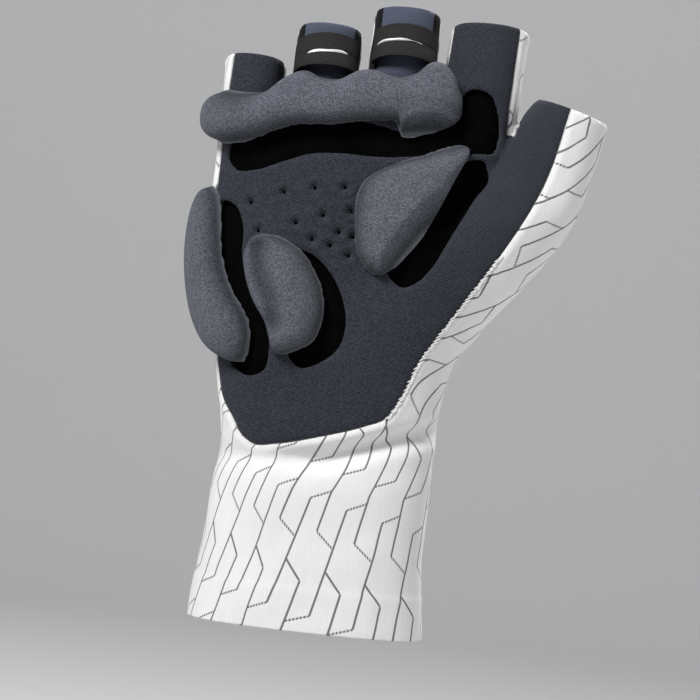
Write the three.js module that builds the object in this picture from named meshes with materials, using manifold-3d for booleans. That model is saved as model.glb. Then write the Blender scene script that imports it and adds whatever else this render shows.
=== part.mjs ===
// A right-hand half-finger cycling glove with a long cuff, in the form it has on a raised hand.
// Millimetres. +Z runs up the fingers, the palm faces -Y and the thumb is at +X.
// The origin is the centre of the cuff's mouth, where the hand goes in.
import * as THREE from "three";
import { mergeVertices } from "three/addons/utils/BufferGeometryUtils.js";
import Module from "manifold-3d";

const wasm = await Module();
wasm.setup();

// Thicknesses and clearances
const CLOTH = 1.6;
const HEM_CLOTH = 2.4;
const HEM_HEIGHT = 13;
const LINING = 1.0;
const GAP = 0.3;
const PERFORATION = 1.3;

// The knit is cut across at the wrist, just under the palm fabric, and at the roots of the fingers.
const WRIST_Z = 52.6;
const FINGER_ROOT_Z = 150;

// Side of the blocks that cut the form at a height, and a depth that is behind all of it
const BLOCK = 400;
const BEHIND = 40;

// How square the sections are: 2 is an ellipse, and a larger number is squarer.
const BODY_POWER = 2.4;
const TUBE_POWER = 2.15;
const BODY_SIDES = 36;
const FINGER_SIDES = 16;
const THUMB_SIDES = 20;

// The fingertip openings slope back by this angle, so their palm side stands higher.
const RIM_SLOPE = THREE.MathUtils.degToRad(10.5);

// Cuff and hand: at height z, how far the outside reaches to each side, to the palm side and to the
// back, and how far the thumb's mound and the heel's mound swell past the palm there.
const HAND = [
  { z: 0, left: -36.3, right: 36.3, palm: 22.0, back: 22.0, thumbMound: 0, heelMound: 0 },
  { z: 14, left: -35.4, right: 34.9, palm: 21.3, back: 21.3, thumbMound: 0, heelMound: 0 },
  { z: 30, left: -34.1, right: 34.1, palm: 20.3, back: 20.3, thumbMound: 0, heelMound: 0 },
  { z: 45, left: -32.9, right: 33.9, palm: 19.7, back: 19.6, thumbMound: 0, heelMound: 0 },
  { z: 53, left: -32.5, right: 34.2, palm: 18.5, back: 19.0, thumbMound: 0, heelMound: 0 },
  { z: 62, left: -33.2, right: 34.4, palm: 19.4, back: 18.6, thumbMound: 0.2, heelMound: 0.2 },
  { z: 74, left: -35.2, right: 34.8, palm: 19.4, back: 18.2, thumbMound: 1.2, heelMound: 1.2 },
  { z: 86, left: -38.2, right: 37.3, palm: 18.8, back: 17.6, thumbMound: 2.8, heelMound: 2.4 },
  { z: 98, left: -41.2, right: 44.6, palm: 17.8, back: 17.0, thumbMound: 3.8, heelMound: 2.8 },
  { z: 110, left: -43.0, right: 45.2, palm: 16.8, back: 16.6, thumbMound: 4.0, heelMound: 2.5 },
  { z: 122, left: -43.4, right: 45.2, palm: 16.2, back: 16.2, thumbMound: 3.4, heelMound: 1.6 },
  { z: 134, left: -43.5, right: 45.3, palm: 15.8, back: 15.8, thumbMound: 2.2, heelMound: 0.8 },
  { z: 146, left: -43.8, right: 45.8, palm: 15.2, back: 15.2, thumbMound: 0.9, heelMound: 0.2 },
  { z: 156, left: -43.9, right: 46.4, palm: 13.8, back: 13.2, thumbMound: 0, heelMound: 0 },
  { z: 162, left: -43.4, right: 46.0, palm: 12.2, back: 11.2, thumbMound: 0, heelMound: 0 },
];
const THUMB_MOUND = { x: 27, reach: 15 };
const HEEL_MOUND = { x: -25, reach: 13 };

// The web between the fingers is highest at the middle of the hand and falls to both sides.
const WEB = { x: 2, drop: 5, reach: 46 };

// Finger tubes: centre and half sizes at height z, from inside the hand up to the opening.
const FINGERS = {
  little: [
    { z: 138, x: -33.4, y: -0.5, halfWidth: 8.8, halfDepth: 10.4 },
    { z: 157, x: -34.0, y: -0.6, halfWidth: 9.6, halfDepth: 10.8 },
    { z: 165, x: -34.4, y: -0.1, halfWidth: 9.5, halfDepth: 10.2 },
    { z: 172, x: -34.6, y: 0.6, halfWidth: 9.4, halfDepth: 9.6 },
  ],
  ring: [
    { z: 138, x: -11.4, y: -1.0, halfWidth: 9.8, halfDepth: 10.8 },
    { z: 160, x: -12.2, y: -0.8, halfWidth: 10.3, halfDepth: 11.2 },
    { z: 172, x: -12.6, y: 0.2, halfWidth: 10.2, halfDepth: 10.6 },
    { z: 184, x: -12.6, y: 1.5, halfWidth: 10.0, halfDepth: 9.9 },
  ],
  middle: [
    { z: 138, x: 10.3, y: -1.0, halfWidth: 10.0, halfDepth: 10.8 },
    { z: 160, x: 10.8, y: -0.8, halfWidth: 10.6, halfDepth: 11.3 },
    { z: 176, x: 10.8, y: 0.4, halfWidth: 10.5, halfDepth: 10.8 },
    { z: 191.6, x: 10.8, y: 2.0, halfWidth: 10.3, halfDepth: 10.1 },
  ],
  index: [
    { z: 138, x: 33.6, y: -1.0, halfWidth: 10.6, halfDepth: 10.8 },
    { z: 158, x: 35.4, y: -0.8, halfWidth: 11.7, halfDepth: 11.4 },
    { z: 174, x: 36.2, y: 0.2, halfWidth: 12.0, halfDepth: 11.0 },
    { z: 189.3, x: 36.8, y: 1.5, halfWidth: 12.1, halfDepth: 10.4 },
  ],
};

// Thumb tube: its centre, half sizes and lean from upright, in degrees, from the palm to the opening.
const THUMB = [
  { x: 18.2, y: 0, z: 97.0, halfWidth: 19.0, halfDepth: 15.0, lean: 30 },
  { x: 26.4, y: -1.0, z: 108.5, halfWidth: 21.0, halfDepth: 16.5, lean: 40 },
  { x: 35.8, y: -2.5, z: 118.4, halfWidth: 20.0, halfDepth: 16.5, lean: 42 },
  { x: 44.7, y: -4.0, z: 126.7, halfWidth: 18.0, halfDepth: 15.2, lean: 38 },
  { x: 55.0, y: -5.0, z: 139.2, halfWidth: 15.1, halfDepth: 13.4, lean: 30 },
  { x: 59.8, y: -5.0, z: 152.7, halfWidth: 13.8, halfDepth: 12.2, lean: 21.7 },
  { x: 62.3, y: -4.6, z: 161.7, halfWidth: 12.8, halfDepth: 11.6, lean: 17 },
  { x: 64.4, y: -4.2, z: 167.0, halfWidth: 11.5, halfDepth: 11.0, lean: 15 },
];

// Seam between the palm fabric and the white knit, seen from the palm: from the little finger's
// opening down the side, round the heel of the hand and up along the thumb to its opening.
const PALM_SEAM = [
  [-41.2, 176], [-41.9, 162], [-42.1, 134], [-41.6, 112], [-38.7, 93], [-35.4, 76], [-32.9, 67.2],
  [-29.1, 62], [-25.4, 57], [-21.6, 54.8], [-14.9, 55.6], [-1.6, 59.4], [11.5, 64], [17.6, 67],
  [21.3, 73], [26.1, 85.4], [31.3, 94.3], [39, 107.1], [46.7, 120.3], [53, 132.4], [57.8, 144],
  [60.9, 156], [64, 172],
];
// The same seam between the thumb's opening and the index finger, which leaves a white strip there.
const INDEX_SEAM = [
  [66, 184], [51.4, 184], [49.6, 168], [48, 161], [47, 157.6], [45.2, 157.6], [45, 166], [45.3, 178],
  [46.2, 204],
];
// The knit's thumb gusset, seen from the palm: from the wrist up to the web beside the index finger
const THUMB_GUSSET = [
  [20, 76], [27, 90], [35, 104], [43, 122], [46.5, 140], [47.6, 156], [50, 176], [50, 204],
  [110, 204], [110, 76],
];
// At the sides of the hand the seam runs this far towards the palm from the middle of the depth.
const SIDE_SEAM_Y = -1;

// Windows in the palm fabric that show the lining, seen from the palm.
const WINDOWS = {
  metacarpal: [
    [-39.6, 146], [-39.4, 140.2], [-35.8, 137.4], [-31.5, 137.9], [-21.7, 141.8], [-14, 144.8],
    [-6.5, 145.8], [6.9, 146.1], [24, 148.6], [35.6, 150.4], [42.4, 152], [43.4, 156.5],
    [41.6, 164.2], [38.8, 168.8], [33.5, 170.3], [29, 167.5], [27.2, 159.5], [22, 155.5],
    [0, 156.5], [-24, 156], [-36.5, 153],
  ],
  thumb_web: [
    [39.6, 147.6], [40.6, 143.6], [37, 136.8], [33.3, 129], [29.6, 121], [26.4, 114.2],
    [22.6, 109.4], [18, 107.2], [13.4, 110.4], [10, 119], [9.6, 129], [13.5, 138], [25, 144],
  ],
  outer_heel: [
    [-39.1, 128], [-35.4, 126.6], [-32.8, 122], [-31.5, 111], [-27.6, 99.6], [-21.6, 90.8],
    [-20, 84], [-21.2, 77.2], [-26, 75.3], [-31.2, 78], [-35.3, 89], [-38.3, 102], [-39.4, 116],
  ],
  inner_heel: [
    [-17, 115.2], [-10.6, 114.3], [-4.4, 109.6], [0.2, 102.4], [2.3, 94], [1, 87], [-3.8, 82],
    [-10.4, 79.6], [-13.5, 82], [-15, 89], [-19.4, 97], [-22.6, 106], [-21.6, 112.6],
  ],
};

// Perforations of the palm fabric, seen from the palm.
const PERFORATIONS = [
  [-30.7, 128], [-20.9, 132.2], [-11.7, 134.4], [-2.6, 135.6], [-16.3, 123.2], [-8.2, 126.4],
  [0, 128.6], [-27.5, 119.6], [-2.9, 121.8], [-10.8, 118.7], [-5.1, 117.5], [1.5, 120.8], [0.8, 115],
];

// The lining lies behind the palm fabric within these limits, seen from the palm.
const LINING_EDGE = [
  [-40.6, 150], [-41.2, 132], [-40, 108], [-37, 88], [-33.5, 74.5], [-24, 69.5], [-8, 73], [6, 78],
  [18, 92], [30, 105], [39, 124], [44.6, 140], [45.2, 158], [43.4, 171], [36, 174.5], [28, 173],
  [25.6, 160], [0, 159.5], [-30, 159.5],
];

// Pads: turn is the angle round the hand's section, 90 at the middle of the palm and 180 at the
// little finger's side. Each row is one section across the pad.
const METACARPAL_PAD = {
  height: 8,
  rows: [
    { turn: 188, low: 150, high: 157 },
    { turn: 170, low: 146.3, high: 160.9 },
    { turn: 152, low: 145.4, high: 161.9 },
    { turn: 136.5, low: 146.7, high: 161.5 },
    { turn: 126.7, low: 149.1, high: 163.1 },
    { turn: 118.3, low: 151.7, high: 168.5 },
    { turn: 110.9, low: 153.3, high: 170.9 },
    { turn: 104.2, low: 154, high: 168.9 },
    { turn: 98.1, low: 154.2, high: 169.4 },
    { turn: 92.8, low: 154.9, high: 172.7 },
    { turn: 88.6, low: 155.9, high: 173.3 },
    { turn: 84.3, low: 154.9, high: 171.9 },
    { turn: 78.5, low: 153.3, high: 173.1 },
    { turn: 72.2, low: 155.3, high: 177.3 },
    { turn: 64, low: 157.7, high: 177.1 },
    { turn: 55, low: 160.9, high: 168.9 },
  ],
};
const OUTER_HEEL_PAD = {
  height: 7.6,
  rows: [
    { z: 78.8, from: 148, to: 134 },
    { z: 80.6, from: 160, to: 132 },
    { z: 85, from: 176, to: 128.5 },
    { z: 92, from: 188, to: 129.5 },
    { z: 101, from: 192, to: 140 },
    { z: 110, from: 193, to: 147.5 },
    { z: 119, from: 193, to: 151 },
    { z: 126, from: 190, to: 154 },
    { z: 130.6, from: 182, to: 160 },
    { z: 132.2, from: 174, to: 168 },
  ],
};
const INNER_HEEL_PAD = {
  height: 7.5,
  rows: [
    { z: 82.7, left: -18.6, right: -16 },
    { z: 83.8, left: -19.6, right: -13.6 },
    { z: 86.9, left: -20.5, right: -8.2 },
    { z: 91.7, left: -22.2, right: -5.6 },
    { z: 97.6, left: -26.4, right: -4.9 },
    { z: 103.9, left: -29.4, right: -6.3 },
    { z: 109.7, left: -30.9, right: -9.5 },
    { z: 114.6, left: -30.9, right: -13.5 },
    { z: 117.7, left: -29.2, right: -19 },
    { z: 118.8, left: -26.6, right: -22.2 },
  ],
};
const THUMB_WEB_PAD = {
  height: 8,
  rows: [
    { z: 110, left: 8.6, right: 11.8 },
    { z: 111.4, left: 6.6, right: 13.8 },
    { z: 115.1, left: 3.7, right: 17.5 },
    { z: 120.8, left: 2, right: 21.5 },
    { z: 127.8, left: 1.2, right: 25.1 },
    { z: 135.3, left: 1.8, right: 28.2 },
    { z: 140.5, left: 5, right: 30.2 },
    { z: 144.4, left: 11.5, right: 31.8 },
    { z: 148, left: 20.3, right: 33.4 },
    { z: 151, left: 27, right: 34.2 },
    { z: 152.9, left: 31.4, right: 34.2 },
  ],
};
const PAD_COLUMNS = 9;
const PAD_ROOT = -2.5;
// How blunt a pad's sides and ends are: at 1 they would taper to a sharp edge.
const PAD_SIDE = 0.97;
const PAD_END = 0.985;

// Pull tabs arch over the palm side of two fingers, with a reflective strip along the middle.
const TABS = {
  ring: { z: 172.2, x: -12.6, y: 0.9, halfWidth: 10.2, halfDepth: 10.6 },
  middle: { z: 177.6, x: 10.8, y: 1.3, halfWidth: 10.5, halfDepth: 10.8 },
};
const TAB_HEIGHT = 10.2;
const TAB_THICKNESS = 1.4;
const TAB_SIDE = 0.3;
const TAB_ARCH = 1.5;
const TAB_END = THREE.MathUtils.degToRad(31);
const STRIP_HEIGHT = 1.1;
const STRIP_THICKNESS = 0.5;
const STRIP_END = THREE.MathUtils.degToRad(38);

// Materials
const palmFabric = new THREE.MeshStandardMaterial({ color: 0x3c414b, roughness: 0.9, metalness: 0 });
const padFabric = new THREE.MeshStandardMaterial({ color: 0x555b68, roughness: 0.88, metalness: 0 });
const whiteKnit = new THREE.MeshStandardMaterial({ color: 0xe8e8e6, roughness: 0.92, metalness: 0 });
const blackLining = new THREE.MeshStandardMaterial({ color: 0x0c0c0e, roughness: 0.95, metalness: 0 });
const blackWebbing = new THREE.MeshStandardMaterial({ color: 0x17181a, roughness: 0.7, metalness: 0 });
const reflector = new THREE.MeshStandardMaterial({ color: 0xc9cdd1, roughness: 0.35, metalness: 0.6 });

// A closed solid from rings of points. Each ring turns anticlockwise seen from the last one.
function loft(rings) {
  const count = rings[0].length;
  const points = rings.flat();
  const triangles = [];
  const at = (ring, i) => ring * count + (i % count);
  for (let ring = 0; ring + 1 < rings.length; ring++) {
    for (let i = 0; i < count; i++) {
      triangles.push(at(ring, i), at(ring, i + 1), at(ring + 1, i + 1));
      triangles.push(at(ring, i), at(ring + 1, i + 1), at(ring + 1, i));
    }
  }
  const last = rings.length - 1;
  const start = points.push(centreOf(rings[0])) - 1;
  const end = points.push(centreOf(rings[last])) - 1;
  for (let i = 0; i < count; i++) {
    triangles.push(start, at(0, i + 1), at(0, i));
    triangles.push(end, at(last, i), at(last, i + 1));
  }
  const vertProperties = new Float32Array(points.flat());
  const triVerts = new Uint32Array(triangles);
  return new wasm.Manifold(new wasm.Mesh({ numProp: 3, vertProperties, triVerts }));
}

function centreOf(ring) {
  return [0, 1, 2].map((axis) => ring.reduce((sum, point) => sum + point[axis], 0) / ring.length);
}

function solidOf(geometry) {
  geometry.deleteAttribute("normal");
  geometry.deleteAttribute("uv");
  const merged = mergeVertices(geometry);
  const vertProperties = merged.attributes.position.array;
  const triVerts = new Uint32Array(merged.index.array);
  return new wasm.Manifold(new wasm.Mesh({ numProp: 3, vertProperties, triVerts }));
}

// The space behind an outline seen from the palm, from well in front of the hand to the depth yBack.
function prism(outline, yBack) {
  const depth = 120;
  const shape = new THREE.Shape(outline.map(([x, z]) => new THREE.Vector2(x, z)));
  const geometry = new THREE.ExtrudeGeometry(shape, { depth, bevelEnabled: false });
  geometry.rotateX(Math.PI / 2);
  geometry.translate(0, yBack, 0);
  return solidOf(geometry);
}

// An outline moved outwards by a distance, or inwards where it is negative.
function grown(outline, distance) {
  const points = outline.map(([x, z]) => new THREE.Vector2(x, z));
  const turn = THREE.ShapeUtils.isClockWise(points) ? -1 : 1;
  return points.map((point, i) => {
    const from = point.clone().sub(points[(i + points.length - 1) % points.length]).normalize();
    const on = points[(i + 1) % points.length].clone().sub(point).normalize();
    const along = from.clone().add(on).normalize();
    const reach = (distance * turn) / along.dot(on);
    return [point.x + along.y * reach, point.y - along.x * reach];
  });
}

// A smooth closed or open curve through an outline's points.
function smoothed(outline, closed) {
  const points = outline.map(([x, z]) => new THREE.Vector3(x, 0, z));
  const curve = new THREE.CatmullRomCurve3(points, closed, "centripetal");
  const divisions = 2 * (points.length - (closed ? 0 : 1));
  const along = curve.getPoints(divisions);
  if (closed) along.pop();
  return along.map((point) => [point.x, point.z]);
}

// A point of the unit section at an angle, rounder or squarer by its power.
function unitSection(angle, power) {
  const c = Math.cos(angle);
  const s = Math.sin(angle);
  return [Math.sign(c) * Math.abs(c) ** (2 / power), Math.sign(s) * Math.abs(s) ** (2 / power)];
}

function angles(sides) {
  return Array.from({ length: sides }, (_, i) => (i / sides) * 2 * Math.PI);
}

function swell(mound, x) {
  return Math.exp(-(((x - mound.x) / mound.reach) ** 2));
}

// A point on the hand at an angle round its section, lifted off its surface.
function handPoint(row, angle, lift) {
  const [across, deep] = unitSection(angle, BODY_POWER);
  const x = (row.left + row.right) / 2 + ((row.right - row.left) / 2 + lift) * across;
  if (deep > 0) return [x, (row.back + lift) * deep, row.z];
  const mounds = row.thumbMound * swell(THUMB_MOUND, x) + row.heelMound * swell(HEEL_MOUND, x);
  return [x, (row.palm + lift + mounds) * deep, row.z];
}

// The hand's row at any height, between the rows of its table.
function handRow(z) {
  const above = HAND.findIndex((row) => row.z >= z);
  if (above === -1) return { ...HAND[HAND.length - 1], z };
  const high = HAND[above];
  const low = HAND[above - 1];
  const share = (z - low.z) / (high.z - low.z);
  const between = (column) => low[column] + (high[column] - low[column]) * share;
  return Object.fromEntries(Object.keys(low).map((column) => [column, between(column)]));
}

function handSolid(lift, open) {
  const rows = HAND.map((row) => ({ ...row }));
  if (open) rows.unshift({ ...rows[0], z: -6 });
  const rings = rows.map((row) => angles(BODY_SIDES).map((angle) => handPoint(row, angle, lift)));
  for (const point of rings[rings.length - 1]) {
    point[2] += lift - WEB.drop * ((point[0] - WEB.x) / WEB.reach) ** 2;
  }
  return loft(rings);
}

function fingerSolid(rows, lift, open) {
  const rings = rows.map((row) =>
    angles(FINGER_SIDES).map((angle) => {
      const [across, deep] = unitSection(angle, TUBE_POWER);
      const x = row.x + (row.halfWidth + lift) * across;
      return [x, row.y + (row.halfDepth + lift) * deep, row.z];
    }),
  );
  const tip = rings[rings.length - 1];
  const middle = rows[rows.length - 1].y;
  for (const point of tip) point[2] -= (point[1] - middle) * Math.tan(RIM_SLOPE);
  if (open) rings.push(tip.map(([x, y, z]) => [x, y + 0.6, z + 6]));
  return loft(rings);
}

function thumbSolid(lift, open) {
  const ringAt = (row, shift) => {
    const lean = THREE.MathUtils.degToRad(row.lean);
    return angles(THUMB_SIDES).map((angle) => {
      const [across, deep] = unitSection(angle, TUBE_POWER);
      const out = (row.halfWidth + lift) * across;
      return [
        row.x + out * Math.cos(lean) + shift * Math.sin(lean),
        row.y + (row.halfDepth + lift) * deep,
        row.z - out * Math.sin(lean) + shift * Math.cos(lean),
      ];
    });
  };
  const rings = THUMB.map((row) => ringAt(row, 0));
  if (open) rings.push(ringAt(THUMB[THUMB.length - 1], 6));
  return loft(rings);
}

// The whole hand, lifted off its surface. An open one runs on past the cuff and the fingertips.
function form(lift, open = false) {
  const parts = [handSolid(lift, open), thumbSolid(lift, open)];
  for (const rows of Object.values(FINGERS)) parts.push(fingerSolid(rows, lift, open));
  return parts.reduce((whole, part) => whole.add(part));
}

// The thicker wall of the turned hem: the space inside the cuff up to the hem's height.
function hemInside() {
  const rows = [{ ...HAND[0], z: -6 }, HAND[0], handRow(HEM_HEIGHT), handRow(HEM_HEIGHT + 1)];
  const depths = [HEM_CLOTH, HEM_CLOTH, HEM_CLOTH, CLOTH];
  const ringAt = (row, depth) => angles(BODY_SIDES).map((angle) => handPoint(row, angle, -depth));
  return loft(rows.map((row, i) => ringAt(row, depths[i])));
}

// The space above or below a height, as a large block.
function above(z) {
  return block(z + BLOCK / 2);
}

function below(z) {
  return block(z - BLOCK / 2);
}

function block(z) {
  const box = new THREE.BoxGeometry(BLOCK, BLOCK, BLOCK);
  box.translate(0, 0, z);
  return solidOf(box);
}

function largest(solid) {
  return solid.decompose().reduce((best, part) => (part.volume() > best.volume() ? part : best));
}

// The crown of a pad from edge to edge, 1 at its middle.
function crown(share, bluntness, power) {
  return (1 - Math.abs((2 * share - 1) * bluntness) ** power) ** (1 / power);
}

// One ring of a pad: the crown over its columns, then the root back under them.
function padRing(place, height) {
  const step = Math.PI / (PAD_COLUMNS - 1);
  const shares = Array.from({ length: PAD_COLUMNS }, (_, i) => 0.5 - 0.5 * Math.cos(step * i));
  const top = shares.map((share) => place(share, height * crown(share, PAD_SIDE, 3)));
  const root = shares.map((share) => place(share, PAD_ROOT)).reverse();
  return [...top, ...root];
}

function endShare(rows, i, column) {
  const first = rows[0][column];
  const last = rows[rows.length - 1][column];
  return (rows[i][column] - first) / (last - first);
}

// A pad in sections up the hand, each between two angles round it.
function padUpTheHand({ height, rows }) {
  const rings = rows.map((row, i) => {
    const here = handRow(row.z);
    const lift = height * crown(endShare(rows, i, "z"), PAD_END, 4);
    const place = (share, up) => {
      const turn = THREE.MathUtils.degToRad(row.from + (row.to - row.from) * share);
      return handPoint(here, -turn, up);
    };
    return padRing(place, lift);
  });
  return loft(rings).subtract(form(GAP));
}

// A pad in sections round the hand, each between two heights.
function padRoundTheHand({ height, rows }) {
  const rings = rows.map((row, i) => {
    const lift = height * crown(endShare(rows, i, "turn"), PAD_END, 4);
    const turn = THREE.MathUtils.degToRad(row.turn);
    const place = (share, up) => handPoint(handRow(row.high + (row.low - row.high) * share), -turn, up);
    return padRing(place, lift);
  });
  return loft(rings).subtract(form(GAP));
}

// The angle round the hand at which its palm side reaches x, for a pad whose edges are given in x.
function turnAt(x, z) {
  const row = handRow(z);
  const across = (x - (row.left + row.right) / 2) / ((row.right - row.left) / 2 + 2);
  return THREE.MathUtils.radToDeg(Math.acos(Math.sign(across) * Math.abs(across) ** (BODY_POWER / 2)));
}

function byAngles({ height, rows }) {
  const turned = rows.map(({ z, left, right }) => ({ z, from: turnAt(left, z), to: turnAt(right, z) }));
  return { height, rows: turned };
}

// A band over the palm side of a finger, off it by more at its front than at its ends, which stop
// short of the finger's sides by an angle.
function archBand(tab, inside, front, thickness, end, height, z) {
  const shape = new THREE.Shape();
  const wide = tab.halfWidth + inside;
  const deep = tab.halfDepth + front;
  const left = Math.PI + end;
  const right = 2 * Math.PI - end;
  shape.absellipse(0, 0, wide + thickness, deep + thickness, left, right, false);
  shape.absellipse(0, 0, wide, deep, right, left, true);
  const geometry = new THREE.ExtrudeGeometry(shape, { depth: height, bevelEnabled: false, curveSegments: 8 });
  geometry.translate(tab.x, tab.y, z);
  return solidOf(geometry);
}

function mesh(name, solid, material) {
  const { vertProperties, triVerts } = solid.getMesh();
  const geometry = new THREE.BufferGeometry();
  geometry.setAttribute("position", new THREE.BufferAttribute(new Float32Array(vertProperties), 3));
  geometry.setIndex(new THREE.BufferAttribute(new Uint32Array(triVerts), 1));
  geometry.computeVertexNormals();
  const made = new THREE.Mesh(geometry, material);
  made.name = name;
  return made;
}

const glove = new THREE.Group();
glove.name = "cycling_glove";

// Cloth shell of the whole glove, with its thicker hem
const hollow = form(-CLOTH, true).intersect(above(HEM_HEIGHT + 1)).add(hemInside());
const shell = form(0).subtract(hollow);

// Palm fabric: the shell inside the seam, cut through by the windows and the perforations
const seam = [...smoothed(PALM_SEAM, false), ...INDEX_SEAM, [-41.2, 204]];
let palm = shell.intersect(prism(grown(seam, -GAP / 2), SIDE_SEAM_Y - GAP / 2));
for (const outline of Object.values(WINDOWS)) {
  palm = palm.subtract(prism(smoothed(outline, true), -4));
}
for (const [x, z] of PERFORATIONS) {
  const drill = new THREE.CylinderGeometry(PERFORATION / 2, PERFORATION / 2, 16, 6);
  drill.translate(x, -20, z);
  palm = palm.subtract(solidOf(drill));
}
glove.add(mesh("palm_panel", largest(palm), palmFabric));

// White knit: the long cuff, the back of the hand, the thumb gusset and the backs of the fingers
const knit = shell.subtract(prism(grown(seam, GAP / 2), SIDE_SEAM_Y + GAP / 2));
const gusset = knit.intersect(prism(grown(THUMB_GUSSET, -GAP / 2), BEHIND));
const hand = knit.intersect(above(WRIST_Z + GAP / 2)).subtract(prism(grown(THUMB_GUSSET, GAP / 2), BEHIND));
const backOfHand = hand.intersect(below(FINGER_ROOT_Z - GAP / 2));
const fingerBacks = hand.intersect(above(FINGER_ROOT_Z + GAP / 2));
glove.add(mesh("cuff", largest(knit.intersect(below(WRIST_Z - GAP / 2))), whiteKnit));
glove.add(mesh("back_of_hand", largest(backOfHand), whiteKnit));
glove.add(mesh("thumb_gusset", largest(gusset), whiteKnit));
glove.add(mesh("finger_backs", largest(fingerBacks), whiteKnit));

// Lining behind the palm fabric
const liningOutside = form(-CLOTH - GAP);
const liningInside = form(-CLOTH - GAP - LINING, true);
const lining = liningOutside.subtract(liningInside).intersect(prism(smoothed(LINING_EDGE, true), -5));
glove.add(mesh("palm_lining", largest(lining), blackLining));

// Pads on the palm
glove.add(mesh("metacarpal_pad", largest(padRoundTheHand(METACARPAL_PAD)), padFabric));
glove.add(mesh("thumb_web_pad", largest(padUpTheHand(byAngles(THUMB_WEB_PAD))), padFabric));
glove.add(mesh("outer_heel_pad", largest(padUpTheHand(OUTER_HEEL_PAD)), padFabric));
glove.add(mesh("inner_heel_pad", largest(padUpTheHand(byAngles(INNER_HEEL_PAD))), padFabric));

// Pull tabs and their reflective strips
for (const [finger, tab] of Object.entries(TABS)) {
  const band = archBand(tab, TAB_SIDE, TAB_ARCH, TAB_THICKNESS, TAB_END, TAB_HEIGHT, tab.z);
  glove.add(mesh(finger + "_pull_tab", band, blackWebbing));
  const proud = TAB_THICKNESS + GAP;
  const stripZ = tab.z + (TAB_HEIGHT - STRIP_HEIGHT) / 2;
  const stripShape = [TAB_SIDE + proud, TAB_ARCH + proud, STRIP_THICKNESS, STRIP_END];
  const strip = archBand(tab, ...stripShape, STRIP_HEIGHT, stripZ);
  glove.add(mesh(finger + "_reflective_strip", strip, reflector));
}

export default glove;
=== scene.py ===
import math

import bmesh
import bpy
import numpy as np
from mathutils import Matrix, Vector, noise
from mathutils.bvhtree import BVHTree
from mathutils.kdtree import KDTree


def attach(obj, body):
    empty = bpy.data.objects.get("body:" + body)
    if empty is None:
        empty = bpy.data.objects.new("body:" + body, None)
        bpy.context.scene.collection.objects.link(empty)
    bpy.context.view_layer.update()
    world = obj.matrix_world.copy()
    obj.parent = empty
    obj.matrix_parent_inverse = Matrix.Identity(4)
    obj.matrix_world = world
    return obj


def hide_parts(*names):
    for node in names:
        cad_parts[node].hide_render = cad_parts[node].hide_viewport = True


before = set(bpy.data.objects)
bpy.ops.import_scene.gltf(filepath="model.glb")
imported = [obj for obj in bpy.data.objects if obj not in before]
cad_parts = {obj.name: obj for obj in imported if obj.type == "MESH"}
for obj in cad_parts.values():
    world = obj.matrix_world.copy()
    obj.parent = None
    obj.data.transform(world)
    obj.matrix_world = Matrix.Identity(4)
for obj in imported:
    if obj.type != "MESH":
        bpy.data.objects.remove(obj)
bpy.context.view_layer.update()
MM = 0.001

# The glove's form
# The knit and the palm fabric are sewn into one stretched skin, which takes the shape of a raised
# hand: a cuff and a hand of one squarish oval section, four short finger tubes and a thumb tube.
# The tables are in millimetres, and their first column is the height or the place along a tube.
BODY_POWER = 2.4
TUBE_POWER = 2.15
RUN_ON = 8


def between(t, span, points, slopes, i):
    """The smooth curve from a point to the next, a share t of the way along their span."""
    return (
        (2 * t**3 - 3 * t**2 + 1) * points[i]
        + (t**3 - 2 * t**2 + t) * span * slopes[i]
        + (3 * t**2 - 2 * t**3) * points[i + 1]
        + (t**3 - t**2) * span * slopes[i + 1]
    )


class Table:
    """Rows of sizes with named columns, read between its rows along smooth curves."""

    def __init__(self, columns, *rows):
        self.columns = columns.split()
        self.rows = np.array(sorted(rows), float)
        self.start, self.end = self.rows[0, 0], self.rows[-1, 0]
        self.slopes = np.gradient(self.rows, self.rows[:, 0], axis=0)
        self.read = {}

    def at(self, place):
        if place not in self.read:
            places = self.rows[:, 0]
            i = int(np.clip(np.searchsorted(places, place) - 1, 0, len(places) - 2))
            span = places[i + 1] - places[i]
            t = float(np.clip((place - places[i]) / span, 0, 1))
            values = between(t, span, self.rows, self.slopes, i)
            self.read[place] = dict(zip(self.columns, map(float, values)))
        return self.read[place]


HAND = Table(
    "z left right palm back thumb_mound heel_mound",
    (0, -36.3, 36.3, 22.0, 22.0, 0, 0),
    (14, -35.4, 34.9, 21.3, 21.3, 0, 0),
    (30, -34.1, 34.1, 20.3, 20.3, 0, 0),
    (45, -32.9, 33.9, 19.7, 19.6, 0, 0),
    (53, -32.5, 34.2, 18.5, 19.0, 0, 0),
    (62, -33.2, 34.4, 19.4, 18.6, 0.2, 0.2),
    (74, -35.2, 34.8, 19.4, 18.2, 1.2, 1.2),
    (86, -38.2, 37.3, 18.8, 17.6, 2.8, 2.4),
    (98, -41.2, 44.6, 17.8, 17.0, 3.8, 2.8),
    (110, -43.0, 45.2, 16.8, 16.6, 4.0, 2.5),
    (122, -43.4, 45.2, 16.2, 16.2, 3.4, 1.6),
    (134, -43.5, 45.3, 15.8, 15.8, 2.2, 0.8),
    (146, -43.8, 45.8, 15.2, 15.2, 0.9, 0.2),
    (156, -43.9, 46.4, 13.8, 13.2, 0, 0),
    (162, -43.4, 46.0, 12.2, 11.2, 0, 0),
)
# The palm swells at two mounds, and the hand's top edge drops to both sides of the web's place.
THUMB_MOUND = {"x": 27, "reach": 15}
HEEL_MOUND = {"x": -25, "reach": 13}
WEB = {"x": 2, "drop": 5, "reach": 46, "from": 146}

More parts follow.
